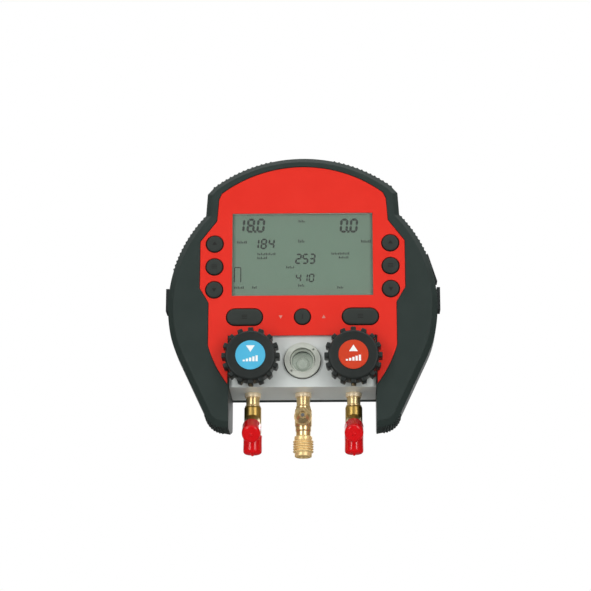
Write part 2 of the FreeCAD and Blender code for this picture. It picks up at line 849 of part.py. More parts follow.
hook_axis_depth = -hook_inset
rear_notch = notch_box("rear_notch", zero, block_back + block_gap, split_plane - 1)
leg_gap = notch_box("leg_gap", zero, 1, split_plane - 1, None, -block_top)
hook_well_half = hook_recess_half + hook_recess_wall
hook_well_box = box("hook_well_box", -hook_well_half, hook_well_half,
                    -hook_recess_depth - hook_recess_wall, 0, hook_recess_low - hook_recess_wall, top_height)
hook_well = common("hook_well", rear_eased, hook_well_box)
rear_shell = cut("rear_shell", rear_eased, [rear_cavity, rear_notch, leg_gap])
rear_bosses = [rod("rear_boss_%d" % number, boss_radius, split_depth - housing_wall / 2,
                   x, -housing_wall / 2, z, 90) for number, (x, z) in enumerate(screw_spots(), 1)]
rear_joined = fuse("rear_joined", [rear_shell, hook_well] + rear_bosses)
rear_tools = [box("hook_recess", -hook_recess_half, hook_recess_half, -hook_recess_depth, 1,
                  hook_recess_low, top_height + 1),
              rod("hook_pin_hole", hook_pin_radius + screw_gap, hook_well_half * 2, -hook_well_half,
                  hook_axis_depth, hook_pivot_height, 90, (0, 1, 0)),
              box("door_hole", -bay_half_width, bay_half_width, -housing_wall - door_gap, 1,
                  door_low, door_top)]
for number, (x, z) in enumerate(screw_spots(), 1):
    rear_tools.append(rod("rear_drill_%d" % number, screw_radius + screw_gap, split_depth + 1, x, 0, z, 90))
    rear_tools.append(rod("rear_counterbore_%d" % number, screw_head_radius + screw_gap, -screw_seat,
                          x, 0, z, 90))


def block_screw_spots():
    return [(block_screw_half * a, block_screw_rise * b) for a in (-1, 1) for b in (-1, 1)]


plate_back = -(block_back + block_gap)
for number, (x, z) in enumerate(block_screw_spots(), 1):
    rear_tools.append(rod("plate_drill_%d" % number, screw_radius + screw_gap, plate_back + 1, x, 0, z, 90))
    rear_tools.append(rod("plate_bore_%d" % number, screw_head_radius + screw_gap, -screw_seat,
                          x, 0, z, 90))
door_pin_span = (bay_half_width + door_pin + door_gap) * 2
rear_tools.append(rod("door_pin_hole", door_pin_radius + door_pin_gap, door_pin_span, -door_pin_span / 2,
                      door_hinge_depth, door_hinge_height, 90, (0, 1, 0)))
node(cut("rear_housing", rear_joined, rear_tools + side_holes("rear_") + sensor_holes("rear_")
                        + [data_hole("rear_")]))

case_screws = []
for number, (x, z) in enumerate(screw_spots(), 1):
    case_screws.append(turned("case_screw_%d" % number, (zero, zero), [
        (screw_head_radius, zero), (screw_head_radius, screw_head), (screw_radius, screw_head),
        (screw_radius, screw_length), (zero, screw_length), (zero, zero)], x, -screw_recess, z, 90))
node(group("case_screws", case_screws))

# Panel, display, board, mat and buttons


def draw_front_panel(sketch):
    draw_panel(sketch)
    half = window_width / 2
    draw_box(sketch, -half, half, window_centre - window_height / 2, window_centre + window_height / 2)
    for name, x, z in button_spots():
        draw_circle(sketch, x, z, button_radius + button_gap)
    for sign in (-1, 1):
        draw_slot(sketch, soft_button_offset * sign, low_button_height, soft_button_half + button_gap,
                  button_radius + button_gap)
    draw_circle(sketch, zero, low_button_height, power_button_radius + button_gap)


node(plate("front_panel", draw_front_panel, panel_back, panel_thickness))


def window_box(sketch, margin):
    half = window_width / 2 + margin
    rise = window_height / 2 + margin
    draw_box(sketch, -half, half, window_centre - rise, window_centre + rise)


window_plate_body = plate("window_plate_body", lambda sketch: window_box(sketch, window_lip), window_back,
                          window_plate)
window_step = plate("window_step", lambda sketch: window_box(sketch, -window_gap), panel_back,
                    panel_thickness - window_recess)
node(fuse("display_window", [window_plate_body, window_step]))
node(plate("display_module", lambda sketch: window_box(sketch, display_margin), display_back,
           display_thickness))

board_low = opening_low + board_edge
board_top = button_middle + button_pitch + button_radius + opening_wing_margin
board_half = opening_wing_half - board_edge


def draw_board(sketch):
    draw_box(sketch, -board_half, board_half, board_low, board_top)


node(plate("main_circuit_board", draw_board, board_back, board_thickness))


def draw_mat(sketch):
    """A sheet in the shape of a U round the display, under all the buttons."""
    inner = window_width / 2 + display_margin + board_edge
    floor = window_centre - window_height / 2 - display_margin - board_edge
    start = (-board_half, board_low)
    draw(sketch, start, [
        (board_half, board_low), (board_half, board_top), (inner, board_top), (inner, floor),
        (-inner, floor), (-inner, board_top), (-board_half, board_top), start])


node(plate("keypad_mat", draw_mat, display_back, mat_thickness))

button_front = panel_front - button_proud
flange_front = panel_back + button_gap
flange_back = flange_front + button_flange_thickness
stem_back = flange_back + button_stem


def round_button(label, x, z, radius):
    """A button cap with its flange behind the panel and the stem that presses the mat."""
    face = stem_back - button_front
    root_level = stem_back - flange_back
    flange_level = stem_back - flange_front
    return turned(label, (zero, zero), [(button_stem_radius, zero), (button_stem_radius, root_level),
                                        (radius + button_flange, root_level),
                                        (radius + button_flange, flange_level), (radius, flange_level),
                                        (radius, face), (zero, face), (zero, zero)], x, stem_back, z, 90)


for name, x, z in button_spots():
    node(round_button(name + "_button", x, z, button_radius))
node(round_button("power_button", zero, low_button_height, power_button_radius))

for side, sign in (("left", -1), ("right", 1)):
    spot = soft_button_offset * sign

    def draw_soft(sketch, margin=zero):
        draw_slot(sketch, spot, low_button_height, soft_button_half + margin, button_radius + margin)

    face = plate(side + "_soft_face", draw_soft, flange_front, flange_front - button_front)
    flange = plate(side + "_soft_flange", lambda sketch: draw_soft(sketch, button_flange), flange_back,
                   button_flange_thickness)
    stem = rod(side + "_soft_stem", button_stem_radius, button_stem, spot, stem_back, low_button_height, 90)
    node(fuse(side + "_soft_button", [face, flange, stem]))

# Manifold block, drilled for two valves, the sight glass, three fittings and two sensors
valve_chamber = seat_face - block_front
block_body = box("block_body", -block_half_width, block_half_width, block_front, block_back,
                 -block_top, block_top)
block_tools = []
glass_floor = block_front + glass_ring_depth + seal_section * 2
gallery_depth = seat_face - gallery_radius - seat_gap
for side, sign in (("low", -1), ("high", 1)):
    x = valve_offset * sign
    block_tools += [
        rod(side + "_bonnet_bore", valve_bore_radius, bonnet_depth, x, block_front + bonnet_depth, 0, 90),
        rod(side + "_piston_bore", piston_radius + piston_gap, valve_chamber, x, seat_face, 0, 90),
        rod(side + "_seat", seat_radius, port_axis - block_front, x, port_axis, 0, 90),
        rod(side + "_port_drill", port_drill_radius, block_height, x, port_axis, -block_top),
        rod(side + "_port_thread", port_thread_radius, port_thread_depth, x, port_axis, -block_top),
        rod(side + "_sensor_thread", port_thread_radius, port_thread_depth, x, port_axis,
            block_top - port_thread_depth)]
block_tools += [
    rod("glass_thread", glass_thread_radius, glass_floor - block_front, 0, glass_floor, 0, 90),
    rod("glass_chamber_bore", glass_chamber_radius, glass_floor - block_front + glass_chamber, 0,
        glass_floor + glass_chamber, 0, 90),
    rod("centre_feed", port_drill_radius, port_axis - block_front, 0, port_axis, 0, 90),
    rod("centre_port_drill", port_drill_radius, block_top, 0, port_axis, -block_top),
    rod("centre_port_thread", port_thread_radius, port_thread_depth, 0, port_axis, -block_top),
    rod("cross_gallery", gallery_radius, valve_offset * 2, -valve_offset, gallery_depth, 0, 90, (0, 1, 0))]
for number, (x, z) in enumerate(block_screw_spots(), 1):
    block_tools.append(rod("block_tap_%d" % number, screw_radius + screw_gap, block_screw_length,
                           x, block_back, z, 90))
node(cut("manifold_block", block_body, block_tools))

block_screws = []
block_screw_reach = block_screw_length + plate_back - screw_recess - plug_end_gap
for number, (x, z) in enumerate(block_screw_spots(), 1):
    block_screws.append(turned("block_screw_%d" % number, (zero, zero),
                               [(screw_head_radius, zero), (screw_head_radius, screw_head),
                                (screw_radius, screw_head), (screw_radius, block_screw_reach),
                                (zero, block_screw_reach), (zero, zero)], x, -screw_recess, z, 90))
node(group("block_screws", block_screws))

# Sight glass: seal at the bottom of the thread, glass on it, ring screwed in over the glass
node(turned("sight_glass_seal", (glass_chamber_radius, zero),
            [(glass_lens_radius, zero), (glass_lens_radius, seal_section),
             (glass_chamber_radius, seal_section), (glass_chamber_radius, zero)], 0, glass_floor, 0, 90))
lens_back = glass_floor - seal_section
lens_front = lens_back - glass_lens_thickness
node(rod("sight_glass_lens", glass_lens_radius, glass_lens_thickness, 0, lens_back, 0, 90))
ring_back = block_front + glass_ring_depth
ring_front = block_front - glass_ring_flange
ring_thread = glass_thread_radius - thread_gap
ring_room = glass_lens_radius + glass_gap
ring_height = glass_ring_depth + glass_ring_flange
lens_level = ring_back - lens_front
ring_profile = [(ring_thread, zero), (ring_thread, glass_ring_depth), (glass_ring_radius, glass_ring_depth),
                (glass_ring_radius, ring_height), (glass_opening, ring_height), (glass_opening, lens_level),
                (ring_room, lens_level), (ring_room, zero)]
ring_blank = turned("glass_ring_blank", (ring_room, zero), ring_profile, 0, ring_back, 0, 90)
spanner_reach = (glass_opening + glass_ring_radius) / 2 / root(as_size(2))
spanner_holes = []
for number, sign in ((1, -1), (2, 1)):
    spanner_holes.append(rod("spanner_hole_%d" % number, spanner_hole_radius, glass_lip,
                             spanner_reach * sign, ring_front + glass_lip, spanner_reach * sign, 90))
node(cut("sight_glass_ring", ring_blank, spanner_holes))

# Valves: bonnet, spindle, piston and knob on each side
bonnet_back = block_front + bonnet_depth
bonnet_front = block_front - bonnet_flange_height
collar_back = bonnet_back - spindle_gap
collar_front = collar_back - spindle_collar - spindle_gap
hub_end = knob_front + insert_recess + insert_thickness + knob_screw_head + knob_web
piston_front = bonnet_back + piston_slack + piston_travel
piston_back = piston_front + piston_guide + piston_nose
spindle_tip = piston_front + piston_guide
screw_floor = knob_front + insert_recess + insert_thickness + knob_screw_head
for side, sign in (("low", -1), ("high", 1)):
    x = valve_offset * sign
    sleeve_length = bonnet_back - bonnet_front
    seal_floor = sleeve_length - seal_height - seal_end_gap * 2
    shaft_hole = spindle_radius + spindle_gap
    seal_seat = shaft_hole + seal_section
    collar_room = spindle_collar_radius + spindle_gap
    node(turned(side + "_bonnet", (collar_room, zero),
                [(valve_bore_radius - thread_gap, zero), (valve_bore_radius - thread_gap, bonnet_depth),
                 (bonnet_flange_radius, bonnet_depth), (bonnet_flange_radius, sleeve_length),
                 (seal_seat, sleeve_length), (seal_seat, seal_floor), (shaft_hole, seal_floor),
                 (shaft_hole, bonnet_back - collar_front),
                 (collar_room, bonnet_back - collar_front), (collar_room, zero)], x, bonnet_back, 0, 90))
    tip = zero
    thread_end = spindle_tip - collar_back
    collar_level = thread_end + spindle_collar
    top_level = spindle_tip - hub_end
    tap = knob_screw_radius + screw_gap
    tap_floor = top_level - knob_screw_length + knob_web - tap_end_gap
    node(turned(side + "_spindle", (tip, tip),
                [(spindle_thread_radius, tip), (spindle_thread_radius, thread_end),
                 (spindle_collar_radius, thread_end), (spindle_collar_radius, collar_level),
                 (spindle_radius, collar_level), (spindle_radius, top_level), (tap, top_level),
                 (tap, tap_floor), (tip, tap_floor), (tip, tip)], x, spindle_tip, 0, 90))
    inner_bore = spindle_thread_radius + spindle_gap
    long = piston_back - piston_front
    bore_floor = long - piston_guide - piston_travel - piston_slack
    node(turned(side + "_piston", (zero, zero), [
        (seat_radius - seat_gap, zero), (piston_nose_radius, seat_radius),
        (piston_nose_radius, piston_nose), (piston_radius, piston_nose), (piston_radius, long),
        (inner_bore, long), (inner_bore, bore_floor), (zero, bore_floor), (zero, zero)],
        x, piston_back, 0, 90))

seal_rings = []
for side, sign in (("low", -1), ("high", 1)):
    seal_rings.append(sleeve(side + "_spindle_seal", spindle_radius + spindle_gap + seal_section,
                             spindle_radius + spindle_gap, seal_height, valve_offset * sign,
                             bonnet_front + seal_end_gap + seal_height, 0, 90))
node(group("spindle_seals", seal_rings))


def knob(side, x):
    """A knob: a dished front, a hollow back with a hub, and square teeth round its rim."""
    insert_room = insert_radius + insert_gap
    insert_floor = knob_thickness - insert_recess - insert_thickness
    head_room = knob_screw_head_radius + insert_gap
    head_floor = insert_floor - knob_screw_head
    bore_top = head_floor - knob_web
    inner = knob_radius - knob_wall
    roof = insert_floor - knob_wall
    shank_room = knob_screw_radius + screw_gap
    bore = spindle_radius + screw_gap
    eased_amount = knob_front_round - knob_front_round / root(as_size(2))
    core = turned(side + "_knob_core", (bore, zero), [
        (knob_hub_radius, zero), (knob_hub_radius, roof), (inner, roof), (inner, zero), (knob_radius, zero),
        (knob_radius, knob_thickness - knob_front_round),
        (knob_radius - eased_amount, knob_thickness - eased_amount,
         knob_radius - knob_front_round, knob_thickness),
        (insert_room, knob_thickness - insert_recess), (insert_room, insert_floor),
        (head_room, insert_floor), (head_room, head_floor), (shank_room, head_floor),
        (shank_room, bore_top), (bore, bore_top), (bore, zero)], x, knob_back, 0, 90)
    tooth_back = knob_back - knob_tooth_setback / 2
    tooth_front = knob_front + knob_tooth_setback
    body, sketch = new_body(side + "_knob_teeth")
    half = knob_tooth_width / 2
    draw_box(sketch, knob_radius - knob_wall / 2, knob_tooth_radius, -half, half)
    first_tooth = pad(body, sketch, tooth_back - tooth_front)
    doc.recompute()
    pattern = body.newObject("PartDesign::PolarPattern", side + "_tooth_pattern")
    pattern.Originals = [first_tooth]
    pattern.Axis = (sketch, ["N_Axis"])
    pattern.Angle = 360
    pattern.Occurrences = int(knob_teeth.number)
    pattern.setExpression("Occurrences", knob_teeth.formula)
    body.Tip = pattern
    place(body, x, tooth_back, 0)
    doc.recompute()
    return fuse(side + "_knob", [core, body])


for side, sign in (("low", -1), ("high", 1)):
    x = valve_offset * sign
    node(knob(side, x))
    node(rod(side + "_knob_insert", insert_radius, insert_thickness, x,
             knob_front + insert_recess + insert_thickness, 0, 90))
    shank = knob_screw_length
    node(turned(side + "_knob_screw", (zero, zero),
                [(knob_screw_radius, zero), (knob_screw_radius, shank), (knob_screw_head_radius, shank),
                 (knob_screw_head_radius, shank + knob_screw_head), (zero, shank + knob_screw_head),
                 (zero, zero)], x, screw_floor + shank, 0, 90))

# Fittings: a lock ring under the block, then a forged brass tee with two flare ports
top_plug = port_thread_depth - plug_end_gap


def tee_stem(label, x, end):
    """The turned stem of a tee, from its thread in the block down to the end of its body."""
    neck_level = block_top + lock_ring_height
    total = -end
    return turned(label, (zero, block_top - top_plug),
                  [(port_thread_radius - thread_gap, block_top - top_plug),
                   (port_thread_radius - thread_gap, neck_level), (tee_neck_radius, neck_level),
                   (tee_neck_radius, -neck_end), (tee_radius, -neck_end), (tee_radius, total),
                   (zero, total), (zero, block_top - top_plug)], x, port_axis, 0, 180)


def port(label, reach, length, x, z, tilt):
    """A male flare port: collar, threaded length and the cone that a hose seals on."""
    end = as_size(reach) + length
    return turned(label, (zero, zero),
                  [(port_collar_radius, zero), (port_collar_radius, as_size(reach)),
                   (port_radius, as_size(reach)), (port_radius, end - port_flare),
                   (port_radius - port_flare, end), (zero, end), (zero, zero)], x, port_axis, z, tilt)


rings = []
for name, sign in (("low", -1), ("centre", 0), ("high", 1)):
    rings.append(sleeve(name + "_lock_ring", lock_ring_radius, port_thread_radius, lock_ring_height,
                        valve_offset * sign, port_axis, -block_top, 180))
node(group("tee_lock_rings", rings))

cap_bore = port_length + port_flare / 4
cap_outside = cap_bore + cap_end
bore_length = block_height - tee_end
for side, sign in (("low", -1), ("high", 1)):
    x = valve_offset * sign
    stem = tee_stem(side + "_tee_stem", x, tee_end)
    angled = port(side + "_angled_port", port_collar_reach, port_length, x, port_level,
                  90 + port_angle.number)
    down = turned(side + "_bottom_port", (zero, zero),
                  [(port_radius, zero), (port_radius, port_length + cap_seat - port_flare),
                   (port_radius - port_flare, port_length + cap_seat), (zero, port_length + cap_seat),
                   (zero, zero)], x, port_axis, tee_end, 180)
    tee_solid = fuse(side + "_tee_solid", [stem, angled, down])
    bores = [rod(side + "_tee_bore", tee_bore_radius, bore_length, x, port_axis,
                 tee_end - block_height / 2),
             rod(side + "_angled_bore", port_bore_radius, port_collar_reach + port_length + bore_excess,
                 x, port_axis, port_level, 90 + port_angle.number)]
    node(cut(side + "_tee", tee_solid, bores))

centre_stem = tee_stem("centre_tee_stem", zero, centre_tee_end)
centre_neck = rod("centre_neck", swivel_neck_radius, swivel_neck, 0, port_axis,
                  centre_tee_end - swivel_neck)
centre_port = port("centre_front_port", front_collar_reach, front_port_length, 0, port_level, 90)
centre_solid = fuse("centre_tee_solid", [centre_stem, centre_neck, centre_port])
front_port_end = port_axis - front_collar_reach - front_port_length
swivel_top = centre_tee_end - swivel_neck
node(cut("centre_tee", centre_solid,
         [rod("centre_bore", tee_bore_radius, block_height * 2, 0, port_axis, swivel_top - bore_excess),
          rod("centre_front_bore", port_bore_radius, front_collar_reach, 0, port_axis, port_level, 90),
          rod("centre_core_bore", front_bore_radius, front_bore_depth, 0, front_port_end + front_bore_depth,
              port_level, 90),
          rod("centre_tail_socket", tail_radius + thread_gap, tail_plug, 0, port_axis, swivel_top)]))


def cap(label, x, z, start, tilt):
    """A soft cap pushed over a flare port, with the drip left by dipping at its end."""
    bore = port_radius + cap_gap
    return turned(label, (bore, start), [
        (cap_radius, start), (cap_radius, start + cap_outside - cap_chamfer),
        (cap_radius - cap_chamfer, start + cap_outside), (cap_nub_radius, start + cap_outside),
        (zero, start + cap_outside + cap_nub), (zero, start + cap_bore), (bore, start + cap_bore),
        (bore, start)], x, port_axis, z, tilt)


for side, sign in (("low", -1), ("high", 1)):
    x = valve_offset * sign
    node(cap(side + "_front_cap", x, port_level, port_collar_reach + cap_seat, 90 + port_angle.number))
    node(cap(side + "_bottom_cap", x, tee_end, cap_seat, 180))

# Valve core with its sprung pin in the centre fitting
core_front = front_port_end + core_inset
node(sleeve("valve_core", front_bore_radius - core_gap, core_bore_radius, core_length, 0,
            core_front + core_length, port_level, 90))
pin_length = core_length + core_pin_proud - core_pin_inset
node(turned("valve_core_pin", (zero, zero),
            [(core_pin_radius, zero), (core_pin_radius, pin_length), (core_pin_head_radius, pin_length),
             (core_pin_head_radius, pin_length + core_pin_head), (zero, pin_length + core_pin_head),
             (zero, zero)],
            0, core_front - core_pin_proud + pin_length, port_level, 90))

# Swivel nut held on the centre fitting by a flanged tail
nut_top = swivel_top - swivel_gap
nut_length = nut_collar + nut_knurl + nut_end
thread_top = nut_length - nut_thread
flange_top = nut_roof + swivel_gap
node(turned("swivel_nut", (tail_radius + tail_gap, zero),
            [(nut_collar_radius, zero), (nut_collar_radius, nut_collar), (nut_radius, nut_collar),
             (nut_radius, nut_collar + nut_knurl), (nut_end_radius, nut_collar + nut_knurl),
             (nut_end_radius, nut_length), (nut_bore_radius, nut_length), (nut_bore_radius, thread_top),
             (nut_relief_radius, thread_top), (nut_relief_radius, nut_roof),
             (tail_radius + tail_gap, nut_roof), (tail_radius + tail_gap, zero)],
            0, port_axis, nut_top, 180))
tail_length = tail_plug + swivel_gap + flange_top + tail_flange
node(turned("swivel_tail", (tail_bore_radius, tail_inset),
            [(tail_radius, tail_inset), (tail_radius, tail_length - tail_flange),
             (tail_flange_radius, tail_length - tail_flange), (tail_flange_radius, tail_length),
             (tail_bore_radius, tail_length), (tail_bore_radius, tail_inset)],
            0, port_axis, swivel_top + tail_plug, 180))
tail_end = swivel_top + tail_plug - tail_length
node(sleeve("swivel_seal", tail_flange_radius, tail_bore_radius, swivel_seal_thickness, 0, port_axis,
            tail_end, 180))

# Hanging hook, stowed in its well and turned out about a pin across the top of the back


def hook():
    """A flat hook with an eye bar at its pivot and an open ring at its end."""
    half = hook_thickness / 2
    bar_half = hook_recess_half - hook_side_gap
    front = hook_axis_depth - half
    back = hook_axis_depth + half
    ring_level = hook_pivot_height - hook_reach
    bar = rod("hook_bar", half, bar_half * 2, -bar_half, hook_axis_depth, hook_pivot_height, 90, (0, 1, 0))
    shank = box("hook_shank", -hook_shank_half, hook_shank_half, front, back, ring_level, hook_pivot_height)
    ring = rod("hook_ring", hook_ring_radius, hook_thickness, 0, back, ring_level, 90)
    solid = fuse("hook_solid", [bar, shank, ring])
    eye = rod("hook_eye", hook_pin_radius + hook_pin_gap, bar_half * 2 + 1, -bar_half - 0.5,
              hook_axis_depth, hook_pivot_height, 90, (0, 1, 0))
    hollow = rod("hook_hollow", hook_ring_bore, hook_thickness + 2, 0, back + 1, ring_level, 90)
    mouth = box("hook_mouth_cut", 0, hook_ring_radius + 1, front - 1, back + 1,
                ring_level - hook_mouth / 2, ring_level + hook_mouth / 2)
    return cut("hanging_hook", solid, [eye, hollow, mouth])


node(hook())
node(rod("hook_pin", hook_pin_radius, hook_well_half * 2, -hook_well_half, hook_axis_depth,
         hook_pivot_height, 90, (0, 1, 0)))

# Battery bay: tray, four cells, spring contacts and the hinged door
tray_half_width = bay_half_width + battery_tray_rim
tray_low = door_low - battery_tray_rim
tray_top = door_top + battery_tray_rim
tray_block = box("tray_block", -tray_half_width, tray_half_width, bay_floor - battery_tray_wall,
                 -housing_wall, tray_low, tray_top)
tray_room = box("tray_room", -bay_half_width, bay_half_width, bay_floor, -housing_wall + 1,
                door_low, door_top)
node(cut("battery_tray", tray_block, [tray_room]))
cells = []
contacts = []
cell_depth = bay_floor + battery_radius
for row, level in (("upper", 1), ("lower", -1)):
    z = battery_height + battery_pitch / 2 * level
    for side, sign in (("left", -1), ("right", 1)):
        can_start = battery_gap / 2 if sign > 0 else -battery_gap / 2 - battery_length
        can = rod(row + "_" + side + "_can", battery_radius, battery_length, can_start, cell_depth, z,
                  90, (0, 1, 0))
        start = battery_length + battery_gap / 2
        nib = rod(row + "_" + side + "_nib", battery_nib_radius, battery_nib,
                  start if sign > 0 else -start - battery_nib, cell_depth, z, 90, (0, 1, 0))
        cells.append(fuse(row + "_" + side + "_cell", [can, nib]))
        reach = start + battery_nib
        contacts.append(rod(row + "_" + side + "_contact", contact_radius, contact_length,
                            reach if sign > 0 else -reach - contact_length, cell_depth, z, 90, (0, 1, 0)))
node(group("batteries", cells))
node(group("battery_contacts", contacts))

door_leaf = box("door_leaf", -door_side, door_side, -housing_wall, 0,
                door_hinge_height, door_top - door_gap)
door_edge = rod("door_edge", housing_wall / 2, door_side * 2, -door_side, door_hinge_depth,
                door_hinge_height, 90, (0, 1, 0))
door_pins = rod("door_pins", door_pin_radius, (door_side + door_pin) * 2, -door_side - door_pin,
                door_hinge_depth, door_hinge_height, 90, (0, 1, 0))
node(fuse("battery_door", [door_leaf, door_edge, door_pins]))

# Pressure sensors screwed into the top of the block
sensors = []
for side, sign in (("low", -1), ("high", 1)):
    plug_length = port_thread_depth - plug_end_gap
    plug_radius = port_thread_radius - thread_gap
    shoulder = plug_length + sensor_neck
    sensors.append(turned(side + "_pressure_sensor", (zero, zero),
                          [(plug_radius, zero), (plug_radius, shoulder),
                           (sensor_radius, shoulder), (sensor_radius, shoulder + sensor_height),
                           (zero, shoulder + sensor_height), (zero, zero)],
                          valve_offset * sign, port_axis, block_top - plug_length))
node(group("pressure_sensors", sensors))

# Sockets in the flanks, their rubber plugs and the strip that covers the data socket
socket_rise = as_size(socket_height) - side_centre_z
side_at_socket = side_centre_x + root(side_radius * side_radius - socket_rise * socket_rise)
plug_face = side_at_socket + plug_seat
sockets = []
for side, sign in (("left", -1), ("right", 1)):
    tilt = 90 if sign > 0 else -90
    base = (side_at_socket - socket_length - socket_inset) * sign
    body, sketch = new_body(side + "_sensor_socket")
    draw(sketch, (zero, zero), [(socket_radius, zero), (socket_radius, socket_length),
                                (socket_bore_radius, socket_length), (socket_bore_radius, socket_floor),
                                (zero, socket_floor), (zero, zero)])
    feature = body.newObject("PartDesign::Revolution", side + "_socket_turn")
    feature.Profile = sketch
    feature.ReferenceAxis = (sketch, ["V_Axis"])
    feature.Angle = 360
    place(body, base, -socket_depth, socket_height, tilt, (0, 1, 0))
    doc.recompute()
    sockets.append(body)
sockets.append(side_box("data_socket", -data_socket_depth, -socket_inset, data_socket_width,
                        data_socket_height))
node(group("side_sockets", sockets))

for side, sign in (("left", -1), ("right", 1)):
    inner = plug_face if sign > 0 else -plug_face - plug_thickness
    head = box(side + "_plug_head", inner, inner + plug_thickness,
               -socket_depth - plug_width / 2, -socket_depth + plug_width / 2,
               socket_height - plug_height / 2, socket_height + plug_height / 2)
    stem_start = plug_face - plug_reach if sign > 0 else -plug_face
    stem = rod(side + "_plug_stem", socket_bore_radius - plug_gap, plug_reach, stem_start, -socket_depth,
               socket_height, 90, (0, 1, 0))
    node(fuse(side + "_socket_plug", [head, stem]))
node(side_box("data_socket_cover", plug_seat, plug_seat + cover_thickness, cover_width, cover_length))

doc.recompute()
for item in doc.Objects:
    for word in ("Invalid", "Error"):
        if word in item.State:
            raise RuntimeError("%s is %s" % (item.Label, item.State))
for item in nodes:
    if item.Shape.isNull() or not item.Shape.isValid():
        raise RuntimeError(item.Label + " has no valid shape")

os.makedirs("parts", exist_ok=True)
for item in nodes:
    item.Shape.exportStep("parts/" + item.Label + ".step")
    print("%-24s solids %d volume %.0f" % (item.Label, len(item.Shape.Solids), item.Shape.Volume))
print("nodes", len(nodes))
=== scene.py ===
# %% [markdown]
# # A refrigerant manifold gauge
# The tool is two moulded shells round an aluminium valve block, with a display, rubber buttons, two valve
# knobs, a sight glass and brass hose ports. The frame brings every CAD piece at rest, in metres: +Z is up
# and the display faces -Y. This lesson gives each piece its surface, and rebuilds those whose edges,
# threads, teeth or knurls are too fine for the CAD model.

# %% The frame
import json
import math
import bmesh
import bpy
from mathutils import Matrix, Vector

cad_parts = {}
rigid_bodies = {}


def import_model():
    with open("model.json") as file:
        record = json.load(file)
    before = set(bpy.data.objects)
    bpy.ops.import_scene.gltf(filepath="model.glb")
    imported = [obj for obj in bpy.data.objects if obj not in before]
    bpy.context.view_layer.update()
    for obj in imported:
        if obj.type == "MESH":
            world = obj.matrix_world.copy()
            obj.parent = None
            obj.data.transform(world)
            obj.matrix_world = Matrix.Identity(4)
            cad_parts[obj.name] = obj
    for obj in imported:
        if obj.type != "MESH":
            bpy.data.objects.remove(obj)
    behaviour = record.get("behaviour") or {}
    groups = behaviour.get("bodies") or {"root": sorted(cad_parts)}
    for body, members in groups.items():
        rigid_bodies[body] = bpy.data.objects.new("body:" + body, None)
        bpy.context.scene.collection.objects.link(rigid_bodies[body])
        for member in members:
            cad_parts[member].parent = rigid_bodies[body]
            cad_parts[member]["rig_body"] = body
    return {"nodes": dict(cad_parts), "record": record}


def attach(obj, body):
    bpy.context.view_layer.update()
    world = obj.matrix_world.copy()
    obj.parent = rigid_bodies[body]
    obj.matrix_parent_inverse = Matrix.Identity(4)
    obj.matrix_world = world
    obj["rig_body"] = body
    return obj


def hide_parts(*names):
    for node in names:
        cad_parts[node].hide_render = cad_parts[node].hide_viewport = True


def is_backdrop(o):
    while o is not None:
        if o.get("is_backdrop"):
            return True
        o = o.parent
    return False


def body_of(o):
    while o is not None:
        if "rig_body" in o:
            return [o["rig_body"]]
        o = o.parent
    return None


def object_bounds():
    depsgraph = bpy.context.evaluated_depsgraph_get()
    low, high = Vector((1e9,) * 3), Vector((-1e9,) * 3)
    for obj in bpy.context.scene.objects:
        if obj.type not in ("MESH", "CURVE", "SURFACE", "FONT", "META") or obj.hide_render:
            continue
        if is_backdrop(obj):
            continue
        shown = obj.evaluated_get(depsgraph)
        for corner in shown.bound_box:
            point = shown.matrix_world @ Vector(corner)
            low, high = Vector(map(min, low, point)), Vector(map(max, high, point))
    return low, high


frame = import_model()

MM = 0.001
cad_low, cad_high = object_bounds()
nodes = frame["nodes"]
body_of_node = {name: body_of(item)[0] for name, item in nodes.items()}
slot_of_node = {entry["node"]: entry["material_slot"] for entry in frame["record"]["subparts"]}
print("CAD box in mm", [round((high - low) / MM, 1) for low, high in zip(cad_low, cad_high)])

# %% [markdown]
# ## Colours and nodes
# Colours are written as on a colour picker, in sRGB, and turned to linear light once. A material is a
# small graph of shader nodes, so one helper adds a node with its settings and its links.

# %% Colour and node helpers
def colour(code):
    """An sRGB hex value as linear light, opaque."""
    parts = [int(code[place:place + 2], 16) / 255 for place in (1, 3, 5)]
    linear = [part / 12.92 if part <= 0.04045 else ((part + 0.055) / 1.055) ** 2.4 for part in parts]
    return (*linear, 1.0)


def add(tree, kind, settings=None, links=None):
    """Adds one node. A setting's small-letter name is a property, any other name or number an input."""
    made = tree.nodes.new(kind)
    for name, value in (settings or {}).items():
        if isinstance(name, str) and name[0].islower():
            setattr(made, name, value)
        else:
            made.inputs[name].default_value = value
    for name, source in (links or {}).items():
        tree.links.new(source, made.inputs[name])
    return made


def start_material(name, settings):
    """A new material with a Principled shader, and its object coordinates in metres."""
    material = bpy.data.materials.new(name)
    material.use_nodes = True
    tree = material.node_tree
    tree.nodes.clear()
    shader = add(tree, "ShaderNodeBsdfPrincipled", settings)
    add(tree, "ShaderNodeOutputMaterial", links={"Surface": shader.outputs["BSDF"]})
    place = add(tree, "ShaderNodeTexCoord").outputs["Object"]
    return material, tree, shader, place


# %% [markdown]
# ## Finishes
# Every real surface varies a little: a moulding has spark-eroded grain, a turned part has tool marks, and
# handling polishes or dulls both. One recipe gives that: a slow noise moves the colour between two near
# tones and moves the roughness, and a fine noise at the real grain size lifts the surface.

